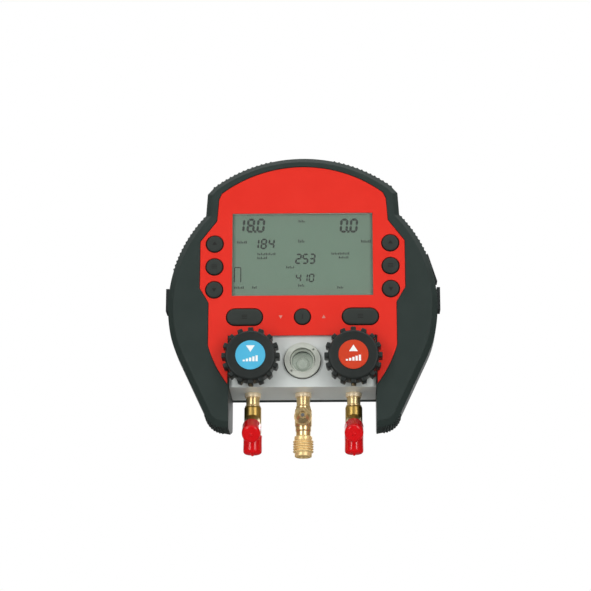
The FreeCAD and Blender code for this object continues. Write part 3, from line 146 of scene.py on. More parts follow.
# %% The surface recipe
def surface(name, tones, rough, metallic=0.0, patch=18.0, grain=0.5, height=0.01, edge=0.0,
            stretch=(1, 1, 1), specular=0.5):
    """tones are two hex colours, rough two roughness values. patch, grain, height and edge are millimetres:
    the slow noise, the fine noise, its lift, and the radius to which sharp edges look eased."""
    material, tree, shader, place = start_material(name, {"Metallic": metallic,
                                                          "Specular IOR Level": specular})
    scaled = add(tree, "ShaderNodeMapping", {"Scale": stretch}, {"Vector": place}).outputs["Vector"]
    slow = add(tree, "ShaderNodeTexNoise", {"Scale": 1 / (patch * MM), "Detail": 3.0}, {"Vector": scaled})
    tint = add(tree, "ShaderNodeMix", {"data_type": "RGBA", 6: colour(tones[0]), 7: colour(tones[1])},
               {0: slow.outputs["Fac"]})
    tree.links.new(tint.outputs[2], shader.inputs["Base Color"])
    dull = add(tree, "ShaderNodeMapRange", {"From Min": 0.3, "From Max": 0.7, "To Min": rough[0],
                                            "To Max": rough[1]}, {"Value": slow.outputs["Fac"]})
    tree.links.new(dull.outputs["Result"], shader.inputs["Roughness"])
    fine = add(tree, "ShaderNodeTexNoise", {"Scale": 1 / (grain * MM), "Detail": 2.0}, {"Vector": scaled})
    lift = add(tree, "ShaderNodeBump", {"Strength": 0.6, "Distance": height * MM},
               {"Height": fine.outputs["Fac"]})
    if edge:
        eased = add(tree, "ShaderNodeBevel", {"samples": 4, "Radius": edge * MM})
        tree.links.new(eased.outputs["Normal"], lift.inputs["Normal"])
    tree.links.new(lift.outputs["Normal"], shader.inputs["Normal"])
    print("material", name)
    return material


# %% The plastics and rubbers
# ABS moulded in a spark-eroded tool: matt, with a fine sand-like grain that spreads the highlight.
shell_abs = surface("moulded_abs_charcoal", ("#28322f", "#2e3835"), (0.42, 0.5), height=0.03, edge=1.2,
                    specular=0.18)
# The same ABS in a polished tool, so it keeps a soft sheen and a clean edge highlight.
panel_abs = surface("polished_abs_red", ("#dc2a1e", "#e43022"), (0.3, 0.36), patch=30, grain=1.2, edge=0.6,
                    specular=0.25)
# Glass-filled nylon knobs: a little darker and duller than the shell.
knob_nylon = surface("moulded_nylon_knob", ("#202423", "#262b29"), (0.34, 0.42), height=0.02, edge=0.4,
                     specular=0.28)
# Silicone rubber keys have a dry, slightly bloomed surface.
key_rubber = surface("silicone_rubber_key", ("#2d322f", "#323734"), (0.5, 0.6), patch=6, grain=0.4,
                     height=0.02, specular=0.2)
key_ink = surface("pad_printed_key_symbol", ("#1c1c1a", "#222220"), (0.5, 0.6), patch=4, grain=0.3,
                  height=0.004, specular=0.2)
plug_rubber = surface("moulded_epdm_plug", ("#23292a", "#2a3030"), (0.5, 0.6), patch=6, grain=0.4,
                      height=0.02, specular=0.3)
seal_rubber = surface("nitrile_seal", ("#141414", "#1b1b1b"), (0.45, 0.55), patch=4, grain=0.3)
# Caps dipped in soft vinyl: wet-looking, with slow waves where the dip ran.
cap_vinyl = surface("dipped_vinyl_red", ("#cf0c12", "#da1118"), (0.14, 0.18), patch=7, grain=5.0, height=0.1,
                    specular=0.4)

# %% The metals
# Milled aluminium, etched and clear anodised: the pale oxide scatters most light and keeps a soft sheen,
# with faint marks drawn out along the cutter's way.
block_aluminium = surface("anodised_aluminium", ("#d8dedb", "#e0e5e2"), (0.38, 0.48), metallic=0.35,
                          patch=16, edge=0.4, stretch=(0.25, 1, 1))
# Lacquer and handling leave turned brass a little uneven.
bright_brass = surface("turned_brass", ("#f0cf90", "#f8dfac"), (0.26, 0.34), metallic=0.82, patch=5)
# The lock rings are paler, as brass plated with tin is.
pale_brass = surface("tin_plated_brass", ("#fbe6be", "#ffeed0"), (0.34, 0.42), metallic=0.4, patch=5)
# Knurling leaves many small facets, which scatter the light and look paler than a turned face.
knurled_brass = surface("knurled_brass", ("#f8d894", "#fde2a8"), (0.36, 0.44), metallic=0.5, patch=5)
# Hot-forged brass, only tumbled: olive where the scale was taken off, and rougher than turned faces.
forged_brass = surface("forged_brass", ("#b3944e", "#c8a962"), (0.34, 0.45), metallic=1.0, patch=4,
                       grain=0.9, height=0.05)
# Turned and bead-blasted, so that the ring round the glass stays pale from every side.
ring_steel = surface("blasted_stainless", ("#c6cac0", "#d2d6cc"), (0.36, 0.44), metallic=0.5, patch=5,
                     grain=0.3)
screw_steel = surface("zinc_plated_screw", ("#8d9092", "#9a9da0"), (0.28, 0.36), metallic=1.0, patch=3,
                      grain=0.3)
contact_steel = surface("nickel_plated_contact", ("#b4b2ac", "#c2c0ba"), (0.2, 0.3), metallic=1.0, patch=3,
                        grain=0.3)

# %% The display, the printed discs and the glass
# Nematic display: the polariser is a flat grey-green film, a little uneven in tone.
display_film = surface("lcd_polariser", ("#6f8976", "#768f7d"), (0.4, 0.44), patch=60, grain=0.4,
                       height=0.004, specular=0.3)
display_ink = surface("lcd_segment", ("#0c1410", "#101a15"), (0.45, 0.5), patch=5, grain=0.4, height=0.002,
                      specular=0.2)
board_mask = surface("green_solder_mask", ("#12502a", "#186034"), (0.3, 0.4), patch=8, grain=0.6,
                     height=0.02)
# Screen-printed polycarbonate discs in the knobs.
disc_blue = surface("printed_disc_blue", ("#47afd6", "#50b8de"), (0.28, 0.34), patch=8, grain=0.8,
                    height=0.006)
disc_red = surface("printed_disc_red", ("#c6330f", "#ce3c14"), (0.28, 0.34), patch=8, grain=0.8,
                   height=0.006)
print_white = surface("screen_ink_white", ("#eef0ee", "#f6f7f6"), (0.4, 0.46), patch=4, grain=0.3,
                      height=0.004)
print_pale = surface("screen_ink_pale", ("#c87c70", "#d08478"), (0.4, 0.46), patch=4, grain=0.3,
                     height=0.004)
label_film = surface("polyester_label", ("#a8acaa", "#b0b4b2"), (0.4, 0.46), patch=20, height=0.004)
cell_sleeve = surface("shrink_sleeve", ("#4a4d52", "#565a60"), (0.3, 0.4), patch=12, grain=0.6)


def clear_sheet(name, tone, mirror, rough):
    """A thin clear sheet: seen through straight on, and reflecting towards its edges."""
    material, tree, shader, place = start_material(name, {"Base Color": colour(tone), "Roughness": rough})
    edge = add(tree, "ShaderNodeFresnel", {"IOR": 1.45})
    dust = add(tree, "ShaderNodeTexNoise", {"Scale": 1 / (9 * MM), "Detail": 2.0}, {"Vector": place})
    haze = add(tree, "ShaderNodeMath", {"operation": "MULTIPLY", 1: mirror}, {0: dust.outputs["Fac"]})
    veil = add(tree, "ShaderNodeMath", {"operation": "ADD"}, {0: edge.outputs["Fac"], 1: haze.outputs[0]})
    tree.links.new(veil.outputs[0], shader.inputs["Alpha"])
    return material


window_clear = clear_sheet("hard_coated_acrylic", "#dfe6e0", 0.03, 0.12)
lens_clear = clear_sheet("toughened_glass", "#c9d6cd", 0.12, 0.05)
# Fused enamel behind the sight glass, in a pale green-grey that shows bubbles and oil.
sight_enamel = surface("sight_glass_enamel", ("#d2dacc", "#e4eadf"), (0.2, 0.3), patch=3, grain=0.8,
                       height=0.03)

# %% [markdown]
# ## Putting finishes on CAD pieces
# Most CAD pieces already show all that a camera sees of them, so they keep their shape and only get a
# finish. The record gives each node a material slot, and a table names the finish of each slot, so a new
# node needs no line of its own.

# %% Finish of every CAD node
finish_of_slot = {
    "housing": shell_abs, "panel": panel_abs, "window": window_clear, "display": display_film,
    "board": board_mask, "mat": key_rubber, "button": key_rubber, "block": block_aluminium,
    "steel": screw_steel, "sight_lens": lens_clear, "seal": seal_rubber, "knob": knob_nylon,
    "insert_blue": disc_blue, "insert_red": disc_red, "brass": bright_brass, "cap": cap_vinyl,
    "battery": cell_sleeve, "contact": contact_steel, "plug": plug_rubber}
# The ring round the glass shares the screws' slot and is blasted instead of plated.
finish_of_node = {"sight_glass_ring": ring_steel}


def dress(piece, material):
    piece.data.materials.clear()
    piece.data.materials.append(material)
    return piece


for name, item in nodes.items():
    dress(item, finish_of_node.get(name, finish_of_slot[slot_of_node[name]]))
print("dressed", len(nodes), "CAD nodes")

# %% [markdown]
# ## Putting built pieces in the scene
# A built piece has its place in its mesh and its object at the origin. It rides on the body of a CAD node,
# and where it stands for that node, it hides that node.

# %% Adding a finished piece
def link(thing):
    """Puts an object in the scene."""
    bpy.context.scene.collection.objects.link(thing)
    return thing


def finished(name, mesh, material, node, stands_for=False):
    """Puts a mesh in the scene as a finished piece that rides with a CAD node, or stands for it."""
    piece = dress(link(bpy.data.objects.new(name, mesh)), material)
    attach(piece, body_of_node[node])
    if stands_for:
        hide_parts(node)
    print(name, len(mesh.polygons), "faces")
    return piece


# %% [markdown]
# ## Mesh makers
# Three makers cover most pieces. A lathe turns a half section round an axis, a prism gives a flat outline
# its thickness along Y, and a pebble stacks smaller and smaller slot outlines into a soft button.

# %% Half sections with eased corners
def corners(points, steps=4):
    """A corner given as (radius, distance, ease) is rounded by that much. All in millimetres."""
    out = []
    for index, point in enumerate(points):
        here = Vector(point[:2])
        if len(point) == 2 or index in (0, len(points) - 1):
            out.append(here)
            continue
        before, after = Vector(points[index - 1][:2]) - here, Vector(points[index + 1][:2]) - here
        start = here + before.normalized() * min(point[2], before.length * 0.48)
        end = here + after.normalized() * min(point[2], after.length * 0.48)
        for step in range(steps + 1):
            share = step / steps
            out.append(start * (1 - share) ** 2 + here * (2 * share * (1 - share)) + end * share ** 2)
    return out


# %% Turning a half section
def lathe(shape, points, origin, axis, sides=64, ring=False):
    """Turns a half section of (radius, distance) round an axis through origin. ring closes the section."""
    axis = Vector(axis).normalized()
    across = axis.orthogonal().normalized()
    other = axis.cross(across)
    base = Vector(origin) * MM
    loops = []
    for radius, distance in corners(points):
        middle = base + axis * (distance * MM)
        if radius < 0.001:
            loops.append([shape.verts.new(middle)])
            continue
        loop = []
        for side in range(sides):
            turn = 2 * math.pi * side / sides
            outward = across * math.cos(turn) + other * math.sin(turn)
            loop.append(shape.verts.new(middle + outward * (radius * MM)))
        loops.append(loop)
    pairs = list(zip(loops, loops[1:])) + ([(loops[-1], loops[0])] if ring else [])
    for first, second in pairs:
        if len(first) == 1 and len(second) == 1:
            continue
        for side in range(sides):
            following = (side + 1) % sides
            around = [first[side % len(first)], first[following % len(first)],
                      second[following % len(second)], second[side % len(second)]]
            face = [vert for index, vert in enumerate(around) if vert not in around[:index]]
            shape.faces.new(face)


def to_mesh(name, shape, angle=34):
    """Ends a build: merges doubles, turns faces outwards, and keeps edges over the angle sharp."""
    bmesh.ops.remove_doubles(shape, verts=shape.verts, dist=0.000001)
    bmesh.ops.recalc_face_normals(shape, faces=shape.faces)
    for face in shape.faces:
        face.smooth = True
    for edge in shape.edges:
        edge.smooth = len(edge.link_faces) == 2 and edge.calc_face_angle(0) < math.radians(angle)
    mesh = bpy.data.meshes.new(name)
    shape.to_mesh(mesh)
    shape.free()
    return mesh


def turned(name, *sections, sides=64):
    """A mesh of turned solids: each is (points, origin, axis), and may end with True for a ring."""
    shape = bmesh.new()
    for points, origin, axis, *ring in sections:
        lathe(shape, points, origin, axis, sides, bool(ring))
    return to_mesh(name, shape)


def turned_piece(name, sections, *said):
    """A turned mesh as a finished piece. The rest is what finished is told after the mesh."""
    return finished(name, turned(name, *sections), *said)


# %% Prisms and pebbles
def prism(shape, outline, front, back):
    """Gives an outline of (x, z) points a thickness from y = front to y = back, in millimetres."""
    faces = [[shape.verts.new((x * MM, y * MM, z * MM)) for x, z in outline] for y in (front, back)]
    for face in faces:
        shape.faces.new(face)
    count = len(outline)
    for index in range(count):
        following = (index + 1) % count
        shape.faces.new([faces[0][index], faces[0][following], faces[1][following], faces[1][index]])


def rectangle(shape, left, low, right, top, front, back):
    """A prism whose outline is an upright rectangle."""
    prism(shape, [(left, low), (right, low), (right, top), (left, top)], front, back)


def arrow_head(shape, x, half, foot, tip, front, back):
    """A prism whose outline is a triangle, with its tip above its foot or below it."""
    prism(shape, [(x - half, foot), (x + half, foot), (x, tip)], front, back)


def slot_outline(x, z, half_length, radius, steps=14):
    """A slot with round ends along x, or a circle where its half length is its radius."""
    points = []
    for centre, start in ((half_length - radius, -90), (radius - half_length, 90)):
        for step in range(steps + 1):
            turn = math.radians(start + 180 * step / steps)
            points.append((x + centre + radius * math.cos(turn), z + radius * math.sin(turn)))
    return points


def pebble(shape, x, z, half_length, radius, levels):
    """Stacks slot outlines: levels are (how far the outline shrinks, y), from the back to the crown."""
    loops = []
    for shrink, y in levels:
        outline = slot_outline(x, z, half_length - shrink, radius - shrink)
        loops.append([shape.verts.new((px * MM, y * MM, pz * MM)) for px, pz in outline])
    for first, second in zip(loops, loops[1:]):
        for index in range(len(first)):
            following = (index + 1) % len(first)
            shape.faces.new([first[index], first[following], second[following], second[index]])
    shape.faces.new(loops[0])
    shape.faces.new(loops[-1])


# %% [markdown]
# ## Repeating with Geometry Nodes
# Teeth, knurls, ribs and the painted-shade crosses on the screw heads repeat one small shape. Three small
# trees
# place it: round an axis, along a path, and on given spots. Instances aren't exported, so each tree ends
# by making them real, and the result becomes a plain mesh.

# %% The trees
def new_tree(name, inputs):
    tree = bpy.data.node_groups.new(name, "GeometryNodeTree")
    for label, kind in [("Geometry", "NodeSocketGeometry"), *inputs, ("Material", "NodeSocketMaterial")]:
        tree.interface.new_socket(label, in_out="INPUT", socket_type=kind)
    tree.interface.new_socket("Geometry", in_out="OUTPUT", socket_type="NodeSocketGeometry")
    return tree, add(tree, "NodeGroupInput").outputs


def end_tree(tree, given, placed):
    real = add(tree, "GeometryNodeRealizeInstances", links={"Geometry": placed})
    painted = add(tree, "GeometryNodeSetMaterial", links={"Geometry": real.outputs["Geometry"],
                                                          "Material": given["Material"]})
    add(tree, "NodeGroupOutput", links={"Geometry": painted.outputs["Geometry"]})
    return tree


def round_tree():
    """Count copies of Piece, turned round an Axis through a Centre."""
    tree, given = new_tree("round_an_axis", [("Piece", "NodeSocketObject"), ("Count", "NodeSocketInt"),
                                             ("Axis", "NodeSocketVector"), ("Centre", "NodeSocketVector")])
    piece = add(tree, "GeometryNodeObjectInfo", links={"Object": given["Piece"]})
    spots = add(tree, "GeometryNodeMeshLine", {"Offset": (0, 0, 0)}, {"Count": given["Count"]})
    number = add(tree, "GeometryNodeInputIndex")
    share = add(tree, "ShaderNodeMath", {"operation": "DIVIDE"}, {0: number.outputs[0], 1: given["Count"]})
    angle = add(tree, "ShaderNodeMath", {"operation": "MULTIPLY", 1: 2 * math.pi}, {0: share.outputs[0]})
    turn = add(tree, "FunctionNodeAxisAngleToRotation", links={"Axis": given["Axis"],
                                                               "Angle": angle.outputs[0]})
    placed = add(tree, "GeometryNodeInstanceOnPoints", links={
        "Points": spots.outputs["Mesh"], "Instance": piece.outputs["Geometry"],
        "Rotation": turn.outputs["Rotation"]})
    moved = add(tree, "GeometryNodeTransform", links={"Geometry": placed.outputs["Instances"],
                                                      "Translation": given["Centre"]})
    return end_tree(tree, given, moved.outputs["Geometry"])


def path_tree():
    """Copies of Piece at a Spacing along the path, turned about Y so that their x follows it."""
    tree, given = new_tree("along_a_path", [("Piece", "NodeSocketObject"), ("Spacing", "NodeSocketFloat")])
    piece = add(tree, "GeometryNodeObjectInfo", links={"Object": given["Piece"]})
    path = add(tree, "GeometryNodeMeshToCurve", links={"Mesh": given["Geometry"]})
    spots = add(tree, "GeometryNodeResampleCurve", {"mode": "LENGTH"}, {
        "Curve": path.outputs["Curve"], "Length": given["Spacing"]})
    way = add(tree, "GeometryNodeInputTangent")
    turn = add(tree, "FunctionNodeAlignRotationToVector", {"axis": "X", "pivot_axis": "Y"},
               {"Vector": way.outputs["Tangent"]})
    placed = add(tree, "GeometryNodeInstanceOnPoints", links={
        "Points": spots.outputs["Curve"], "Instance": piece.outputs["Geometry"],
        "Rotation": turn.outputs["Rotation"]})
    return end_tree(tree, given, placed.outputs["Instances"])


def spots_tree():
    """A copy of Piece on every point of the mesh."""
    tree, given = new_tree("on_spots", [("Piece", "NodeSocketObject")])
    piece = add(tree, "GeometryNodeObjectInfo", links={"Object": given["Piece"]})
    placed = add(tree, "GeometryNodeInstanceOnPoints", links={
        "Points": given["Geometry"], "Instance": piece.outputs["Geometry"]})
    return end_tree(tree, given, placed.outputs["Instances"])


trees = {"round": round_tree(), "path": path_tree(), "spots": spots_tree()}
print("trees", *[tree.name for tree in trees.values()])


# %% Running a tree
def repeat(name, kind, carrier, piece, material, **values):
    """Runs a tree on a carrier mesh with a piece mesh, and returns the result as a plain mesh."""
    host = link(bpy.data.objects.new(name + "_host", carrier))
    item = link(bpy.data.objects.new(name + "_item", piece))
    modifier = host.modifiers.new(kind, "NODES")
    modifier.node_group = trees[kind]
    values.update({"Piece": item, "Material": material})
    for socket in trees[kind].interface.items_tree:
        if socket.in_out == "INPUT" and socket.name in values:
            modifier[socket.identifier] = values[socket.name]
    host.update_tag()
    mesh = bpy.data.meshes.new_from_object(host.evaluated_get(bpy.context.evaluated_depsgraph_get()))
    mesh.name = name
    for work in (host, item):
        bpy.data.objects.remove(work)
    return mesh


# %% Carriers, joined meshes and rounded boxes
def line_mesh(name, points):
    """A carrier: points in metres, each joined to the next by an edge."""
    mesh = bpy.data.meshes.new(name)
    mesh.from_pydata([tuple(point) for point in points], [(n, n + 1) for n in range(len(points) - 1)], [])
    return mesh


def joined(name, *meshes):
    """Several meshes as one."""
    shape = bmesh.new()
    for mesh in meshes:
        shape.from_mesh(mesh)
    out = bpy.data.meshes.new(name)
    shape.to_mesh(out)
    shape.free()
    return out


def rounded_box(name, low, high, ease, segments=2):
    """A box in millimetres with eased edges."""
    shape = bmesh.new()
    middle = (Vector(low) + Vector(high)) / 2 * MM
    size = (Vector(high) - Vector(low)) * MM
    bmesh.ops.create_cube(shape, size=1, matrix=Matrix.Translation(middle) @ Matrix.Diagonal((*size, 1)))
    bmesh.ops.bevel(shape, geom=shape.edges[:], offset=ease * MM, segments=segments, profile=0.5,
                    affect="EDGES", clamp_overlap=True)
    return to_mesh(name, shape, 50)


# %% [markdown]
# ## Knobs
# Each knob is one nylon moulding: a dished disc with a raised rim, and sixteen square grip teeth. Cutting
# the gaps out of a full disc would also do, but cuts leave no eased edges to catch the light. So the disc
# is turned from its half section, and one tooth is a rounded box, repeated round the valve's axis.

# %% The knobs
VALVE_X = 40
SIDES = (("low", -1), ("high", 1))
KNOB_BACK = -61
TOOTH_RADIUS, TOOTH_COUNT = 22.7, 16
FRONT = (0, -1, 0)
TOOTH_ROOT, TOOTH_HALF, TOOTH_FRONT, TOOTH_BACK, TOOTH_EASE = 18.4, 2.1, -12.7, -1.2, 0.8
# The hub, the ring wall with its raised rim, the dish, and the seat of the printed disc.
knob_section = [(3.1, 0), (7, 0), (7, 9.8), (17.4, 9.8), (17.4, 0), (20, 0, 0.4), (20, 12.3, 1.5),
                (18.7, 14, 1.0), (17.2, 13.75, 1.2), (12.2, 13.3, 0.3), (11.7, 13.2), (11.7, 12.45),
                (3.7, 12.45), (3.7, 10.1), (3.1, 10.1)]
tooth = rounded_box("tooth", (TOOTH_ROOT, TOOTH_FRONT, -TOOTH_HALF), (TOOTH_RADIUS, TOOTH_BACK, TOOTH_HALF),
                    TOOTH_EASE, 3)
for side, sign in SIDES:
    centre = Vector((VALVE_X * sign, KNOB_BACK, 0))
    disc = turned(side + "_knob_disc", (knob_section, centre, FRONT, True), sides=96)
    teeth = repeat(side + "_teeth", "round", line_mesh("one", [(0, 0, 0)]), tooth, knob_nylon,
                   Count=TOOTH_COUNT, Axis=FRONT, Centre=tuple(centre * MM))
    finished(side + "_knob_moulding", joined(side + "_knob_moulding", disc, teeth), knob_nylon,
             side + "_knob", True)

# %% [markdown]
# ## Printed discs
# A blue disc marks the low side and a red one the high side. They carry a plain arrow head and a row of
# bars that grow, which stand for less and more pressure. An image would blur close up, so the print is
# thin prisms, proud of the disc by less than a tenth of a millimetre.

# %% The marks on the discs
INSERT_FRONT = -74.7
PRINT = (INSERT_FRONT - 0.06, INSERT_FRONT + 0.05)
ARROW_LOW, ARROW_TOP, ARROW_HALF = 2.4, 7.6, 3.4
BAR_COUNT, BAR_START, BAR_PITCH, BAR_WIDTH = 5, -5.9, 2.5, 1.7
BAR_FOOT, BAR_HEAD, BAR_RISE = -5.2, -3.9, 0.85
for side, sign, tip, base in (("low", -1, ARROW_LOW, ARROW_TOP), ("high", 1, ARROW_TOP, ARROW_LOW)):
    x = VALVE_X * sign
    shape = bmesh.new()
    arrow_head(shape, x, ARROW_HALF, base, tip, *PRINT)
    for number in range(BAR_COUNT):
        left = x + BAR_START + number * BAR_PITCH
        rectangle(shape, left, BAR_FOOT, left + BAR_WIDTH, BAR_HEAD + number * BAR_RISE, *PRINT)
    name = side + "_disc_marks"
    finished(name, to_mesh(name, shape), print_white, side + "_knob")

# %% [markdown]
# ## Display
# A segment display shows dark bars on grey-green. A font would give round strokes, so each digit is seven
# bars that lean a little, drawn from a table of which bars are lit. Its labels are rows of plain ticks.

# %% Digits of seven bars
LIT = {"0": "abcdef", "1": "bc", "2": "abdeg", "3": "abcdg", "4": "bcfg", "5": "acdfg", "6": "acdefg",
       "7": "abc", "8": "abcdefg", "9": "abcdfg"}
# The ends of each bar, as shares of the digit's width and height.
BAR_ENDS = {"a": ((0, 1), (1, 1)), "b": ((1, 1), (1, 0.5)), "c": ((1, 0.5), (1, 0)), "d": ((0, 0), (1, 0)),
            "e": ((0, 0.5), (0, 0)), "f": ((0, 1), (0, 0.5)), "g": ((0, 0.5), (1, 0.5))}
INK_FRONT, INK_BACK = -53.99, -53.9
# How far a digit leans, how thick its bars are, and how much each end is cut short, as shares.
LEAN, THICKNESS, TRIM = 0.09, 0.19, 0.08


def bar(shape, a, b, width):
    """One lit bar from a to b with pointed ends."""
    a, b = Vector(a), Vector(b)
    along = (b - a).normalized() * (width / 2)
    side = Vector((-along.y, along.x))
    outline = [a, a + along + side, b - along + side, b, b - along - side, a + along - side]
    prism(shape, [tuple(point) for point in outline], INK_FRONT, INK_BACK)


def block(shape, left, low, width, height):
    """A plain lit block."""
    rectangle(shape, left, low, left + width, low + height, INK_FRONT, INK_BACK)


def digits(shape, text, left, low, width, height, pitch):
    """Writes numbers from the lower left corner, a digit every pitch. A point stands in the gap."""
    thick = height * THICKNESS
    at = left
    for sign in text:
        if sign == ".":
            block(shape, at - (pitch - width) / 2 - thick / 2, low - thick / 2, thick, thick)
            continue
        for letter in LIT[sign]:
            a, b = [Vector((at + across * width + up * height * LEAN, low + up * height))
                    for across, up in BAR_ENDS[letter]]
            trim = (b - a).normalized() * (thick * TRIM)
            bar(shape, a + trim, b - trim, thick)
        at += pitch


# %% The readings and the labels
ink = bmesh.new()
digits(ink, "18.0", -52.2, 107.0, 4.6, 10.1, 8.0)
digits(ink, "0.0", 30.5, 106.4, 4.6, 10.1, 7.8)
digits(ink, "184", -39.3, 92.8, 3.7, 7.5, 6.15)
digits(ink, "253", -5.4, 80.2, 3.7, 7.4, 5.5)
digits(ink, "410", -5.2, 65.0, 3.4, 6.0, 5.2)
# Each label is a row of ticks: its left end, its foot, its length and its height.
labels = [(-52.3, 97.0, 7.1, 2.4), (46.8, 97.0, 7.4, 2.4), (-3.2, 114.4, 4.4, 2.2), (-3.4, 97.4, 4.2, 2.8),
          (-36.0, 87.1, 14.0, 2.1), (-36.0, 83.8, 7.5, 2.1), (23.0, 87.1, 14.0, 2.1), (29.0, 83.8, 7.5, 2.1),
          (-54.2, 59.4, 8.0, 2.0), (-40.0, 59.4, 3.6, 2.0), (27.6, 59.0, 5.0, 2.0), (-13.0, 76.0, 6.6, 2.0),
          (-3.4, 60.8, 5.0, 2.0)]
TICK_PITCH, TICK_WIDTH = 1.35, 0.8
TICK_HEIGHTS = (1.0, 0.7, 1.0, 0.55, 0.85)
for left, foot, length, height in labels:
    for number in range(int(length / TICK_PITCH) + 1):
        tick = height * TICK_HEIGHTS[number % len(TICK_HEIGHTS)]
        block(ink, left + number * TICK_PITCH, foot, TICK_WIDTH, tick)
# The outline of a level gauge, open at its foot.
gauge = [(-54.2, 64.6), (-54.2, 77.0), (-49.2, 77.0), (-49.2, 64.6)]
for a, b in zip(gauge, gauge[1:]):
    bar(ink, a, b, TICK_WIDTH)
finished("display_segments", to_mesh("display_segments", ink), display_ink, "display_module")

# %% The display's own plate
PLATE_HALF, PLATE_LOW, PLATE_TOP, PLATE_BACK = 58.5, 49.9, 123.6, -50.1
shape = bmesh.new()
rectangle(shape, -PLATE_HALF, PLATE_LOW, PLATE_HALF, PLATE_TOP, INK_BACK, PLATE_BACK)
finished("display_plate", to_mesh("display_plate", shape), display_film, "display_module", True)

# %% [markdown]
# ## Buttons
# The keys are silicone rubber with a soft edge and a slightly domed crown. Their skirt lies behind the
# panel, so a thin dark gap shows round each. A bevelled cylinder has a flat crown, so a key is a stack of
# outlines that shrink towards the front, round or long alike. A small symbol is printed on the crown.

# %% The keys
KEY_FRONT = -58.6
CROWN = [(0.0, -54.4), (0.0, -57.6), (0.12, -58.1), (0.45, -58.45), (1.0, KEY_FRONT),
         (2.6, KEY_FRONT - 0.14), (4.6, KEY_FRONT - 0.2)]
SKIRT = [(0, -54.35), (0, -55.25)]
SKIRT_WIDTH = 1.2
KEY_RADIUS, KEY_COLUMN, KEY_MIDDLE, KEY_PITCH, KEY_ROW = 6.6, 70, 76.6, 19, 35
POWER_RADIUS, SOFT_COLUMN, SOFT_HALF = 6.2, 45.7, 14.1
# Each key is (x, z, half length, radius).
keys = {"power_button": (0, KEY_ROW, POWER_RADIUS, POWER_RADIUS)}
for side, sign in (("left", -1), ("right", 1)):
    keys[side + "_soft_button"] = (SOFT_COLUMN * sign, KEY_ROW, SOFT_HALF, KEY_RADIUS)
    for row, step in (("top", 1), ("middle", 0), ("bottom", -1)):
        level = KEY_MIDDLE + KEY_PITCH * step
        keys[side + "_" + row + "_button"] = (KEY_COLUMN * sign, level, KEY_RADIUS, KEY_RADIUS)
for name, (x, z, half_length, radius) in keys.items():
    shape = bmesh.new()
    pebble(shape, x, z, half_length, radius, CROWN)
    pebble(shape, x, z, half_length + SKIRT_WIDTH, radius + SKIRT_WIDTH, SKIRT)
    finished(name.replace("_button", "_key"), to_mesh(name, shape), key_rubber, name, True)

# %% Symbols on the keys
INK = (KEY_FRONT - 0.25, KEY_FRONT + 0.1)
ARROW_SIZE = 1.9
# The upright mark of the power key, and the three level ones of the middle and long keys, as half sizes.
UPRIGHT_X, UPRIGHT_Z = 0.4, 2.0
LEVEL_X, LEVEL_Z, LEVEL_PITCH = 2.2, 0.28, 1.3
for name, (x, z, *_) in keys.items():
    shape = bmesh.new()
    way = {"top": 1, "bottom": -1}.get(name.split("_")[1])
    if way:
        arrow_head(shape, x, ARROW_SIZE, z - ARROW_SIZE / 2 * way, z + ARROW_SIZE * way, *INK)
    elif name == "power_button":
        rectangle(shape, x - UPRIGHT_X, z - UPRIGHT_Z, x + UPRIGHT_X, z + UPRIGHT_Z, *INK)
    else:
        for level in (z - LEVEL_PITCH, z, z + LEVEL_PITCH):
            rectangle(shape, x - LEVEL_X, level - LEVEL_Z, x + LEVEL_X, level + LEVEL_Z, *INK)
    finished(name.replace("_button", "_symbol"), to_mesh(name + "_symbol", shape), key_ink, name)

# %% Two small printed arrows between the keys
PANEL_FRONT = -57.6
MARK_FOOT, MARK_TIP = 1.2, 1.5
shape = bmesh.new()
for x, way in ((-17.2, -1), (16.8, 1)):
    arrow_head(shape, x, MARK_TIP, KEY_ROW - MARK_FOOT * way, KEY_ROW + MARK_TIP * way, PANEL_FRONT - 0.05,
               PANEL_FRONT + 0.1)
finished("panel_arrows", to_mesh("panel_arrows", shape), print_pale, "front_panel")

# %% [markdown]
# ## Sight glass
# The glass sits under a flat screwed ring. A lathe can't make the ring's two spanner holes, so the CAD ring
# stays, with a fine turned bead along each of its edges. A thin dark washer lies under it, and its
# near-black edge is painted shade for the shadow line round the ring's foot. A pale enamelled chamber lies
# behind the glass.

# %% Ring beads, shadow washer, glass and chamber
BLOCK_FRONT = -54
GLASS_CENTRE = (0, BLOCK_FRONT, 0)
BEAD_FOOT, BEAD_TOP = 2.9, 3.2


def bead(inner, outer):
    """The half section of a fine bead on the ring's face."""
    return [(inner, BEAD_FOOT), (outer, BEAD_FOOT), (outer, BEAD_TOP, 0.15), (inner, BEAD_TOP, 0.15),
            (inner, BEAD_FOOT + 0.05)]


turned_piece("sight_glass_ring_beads", [(bead(inner, outer), GLASS_CENTRE, FRONT, True)
                                        for inner, outer in ((13.6, 14.15), (10.05, 10.6))],
             ring_steel, "sight_glass_ring")
# A thin rubber washer whose near-black edge outside the ring is painted shade: the shadow line round the
# ring's foot.
shadow_washer_section = [(14.0, 0.02), (14.75, 0.02), (14.75, 0.4, 0.1), (14.0, 0.4)]
turned_piece("sight_glass_washer", [(shadow_washer_section, GLASS_CENTRE, FRONT, True)], seal_rubber,
             "manifold_block")
bezel_section = [(8.4, -2.6), (9.5, -2.6), (9.5, 0.4, 0.3), (8.9, 0.4, 0.3), (8.4, -0.8, 0.2)]
turned_piece("sight_glass_bezel", [(bezel_section, GLASS_CENTRE, FRONT, True)], ring_steel,
             "sight_glass_ring")
dome_section = [(0, -7.9), (10.9, -7.9), (10.9, -3.4, 0.2), (8.5, -3.1), (6, -2.75), (3, -2.55), (0, -2.5)]
turned_piece("sight_glass_dome", [(dome_section, GLASS_CENTRE, FRONT)], lens_clear, "sight_glass_lens", True)
chamber_section = [(0, -10.6), (8.9, -10.6), (8.9, -8.2), (8.3, -8.2), (7.9, -9.6), (5.2, -10.0),
                   (4.8, -9.3), (4.2, -9.3), (3.8, -10.1), (0, -10.1)]
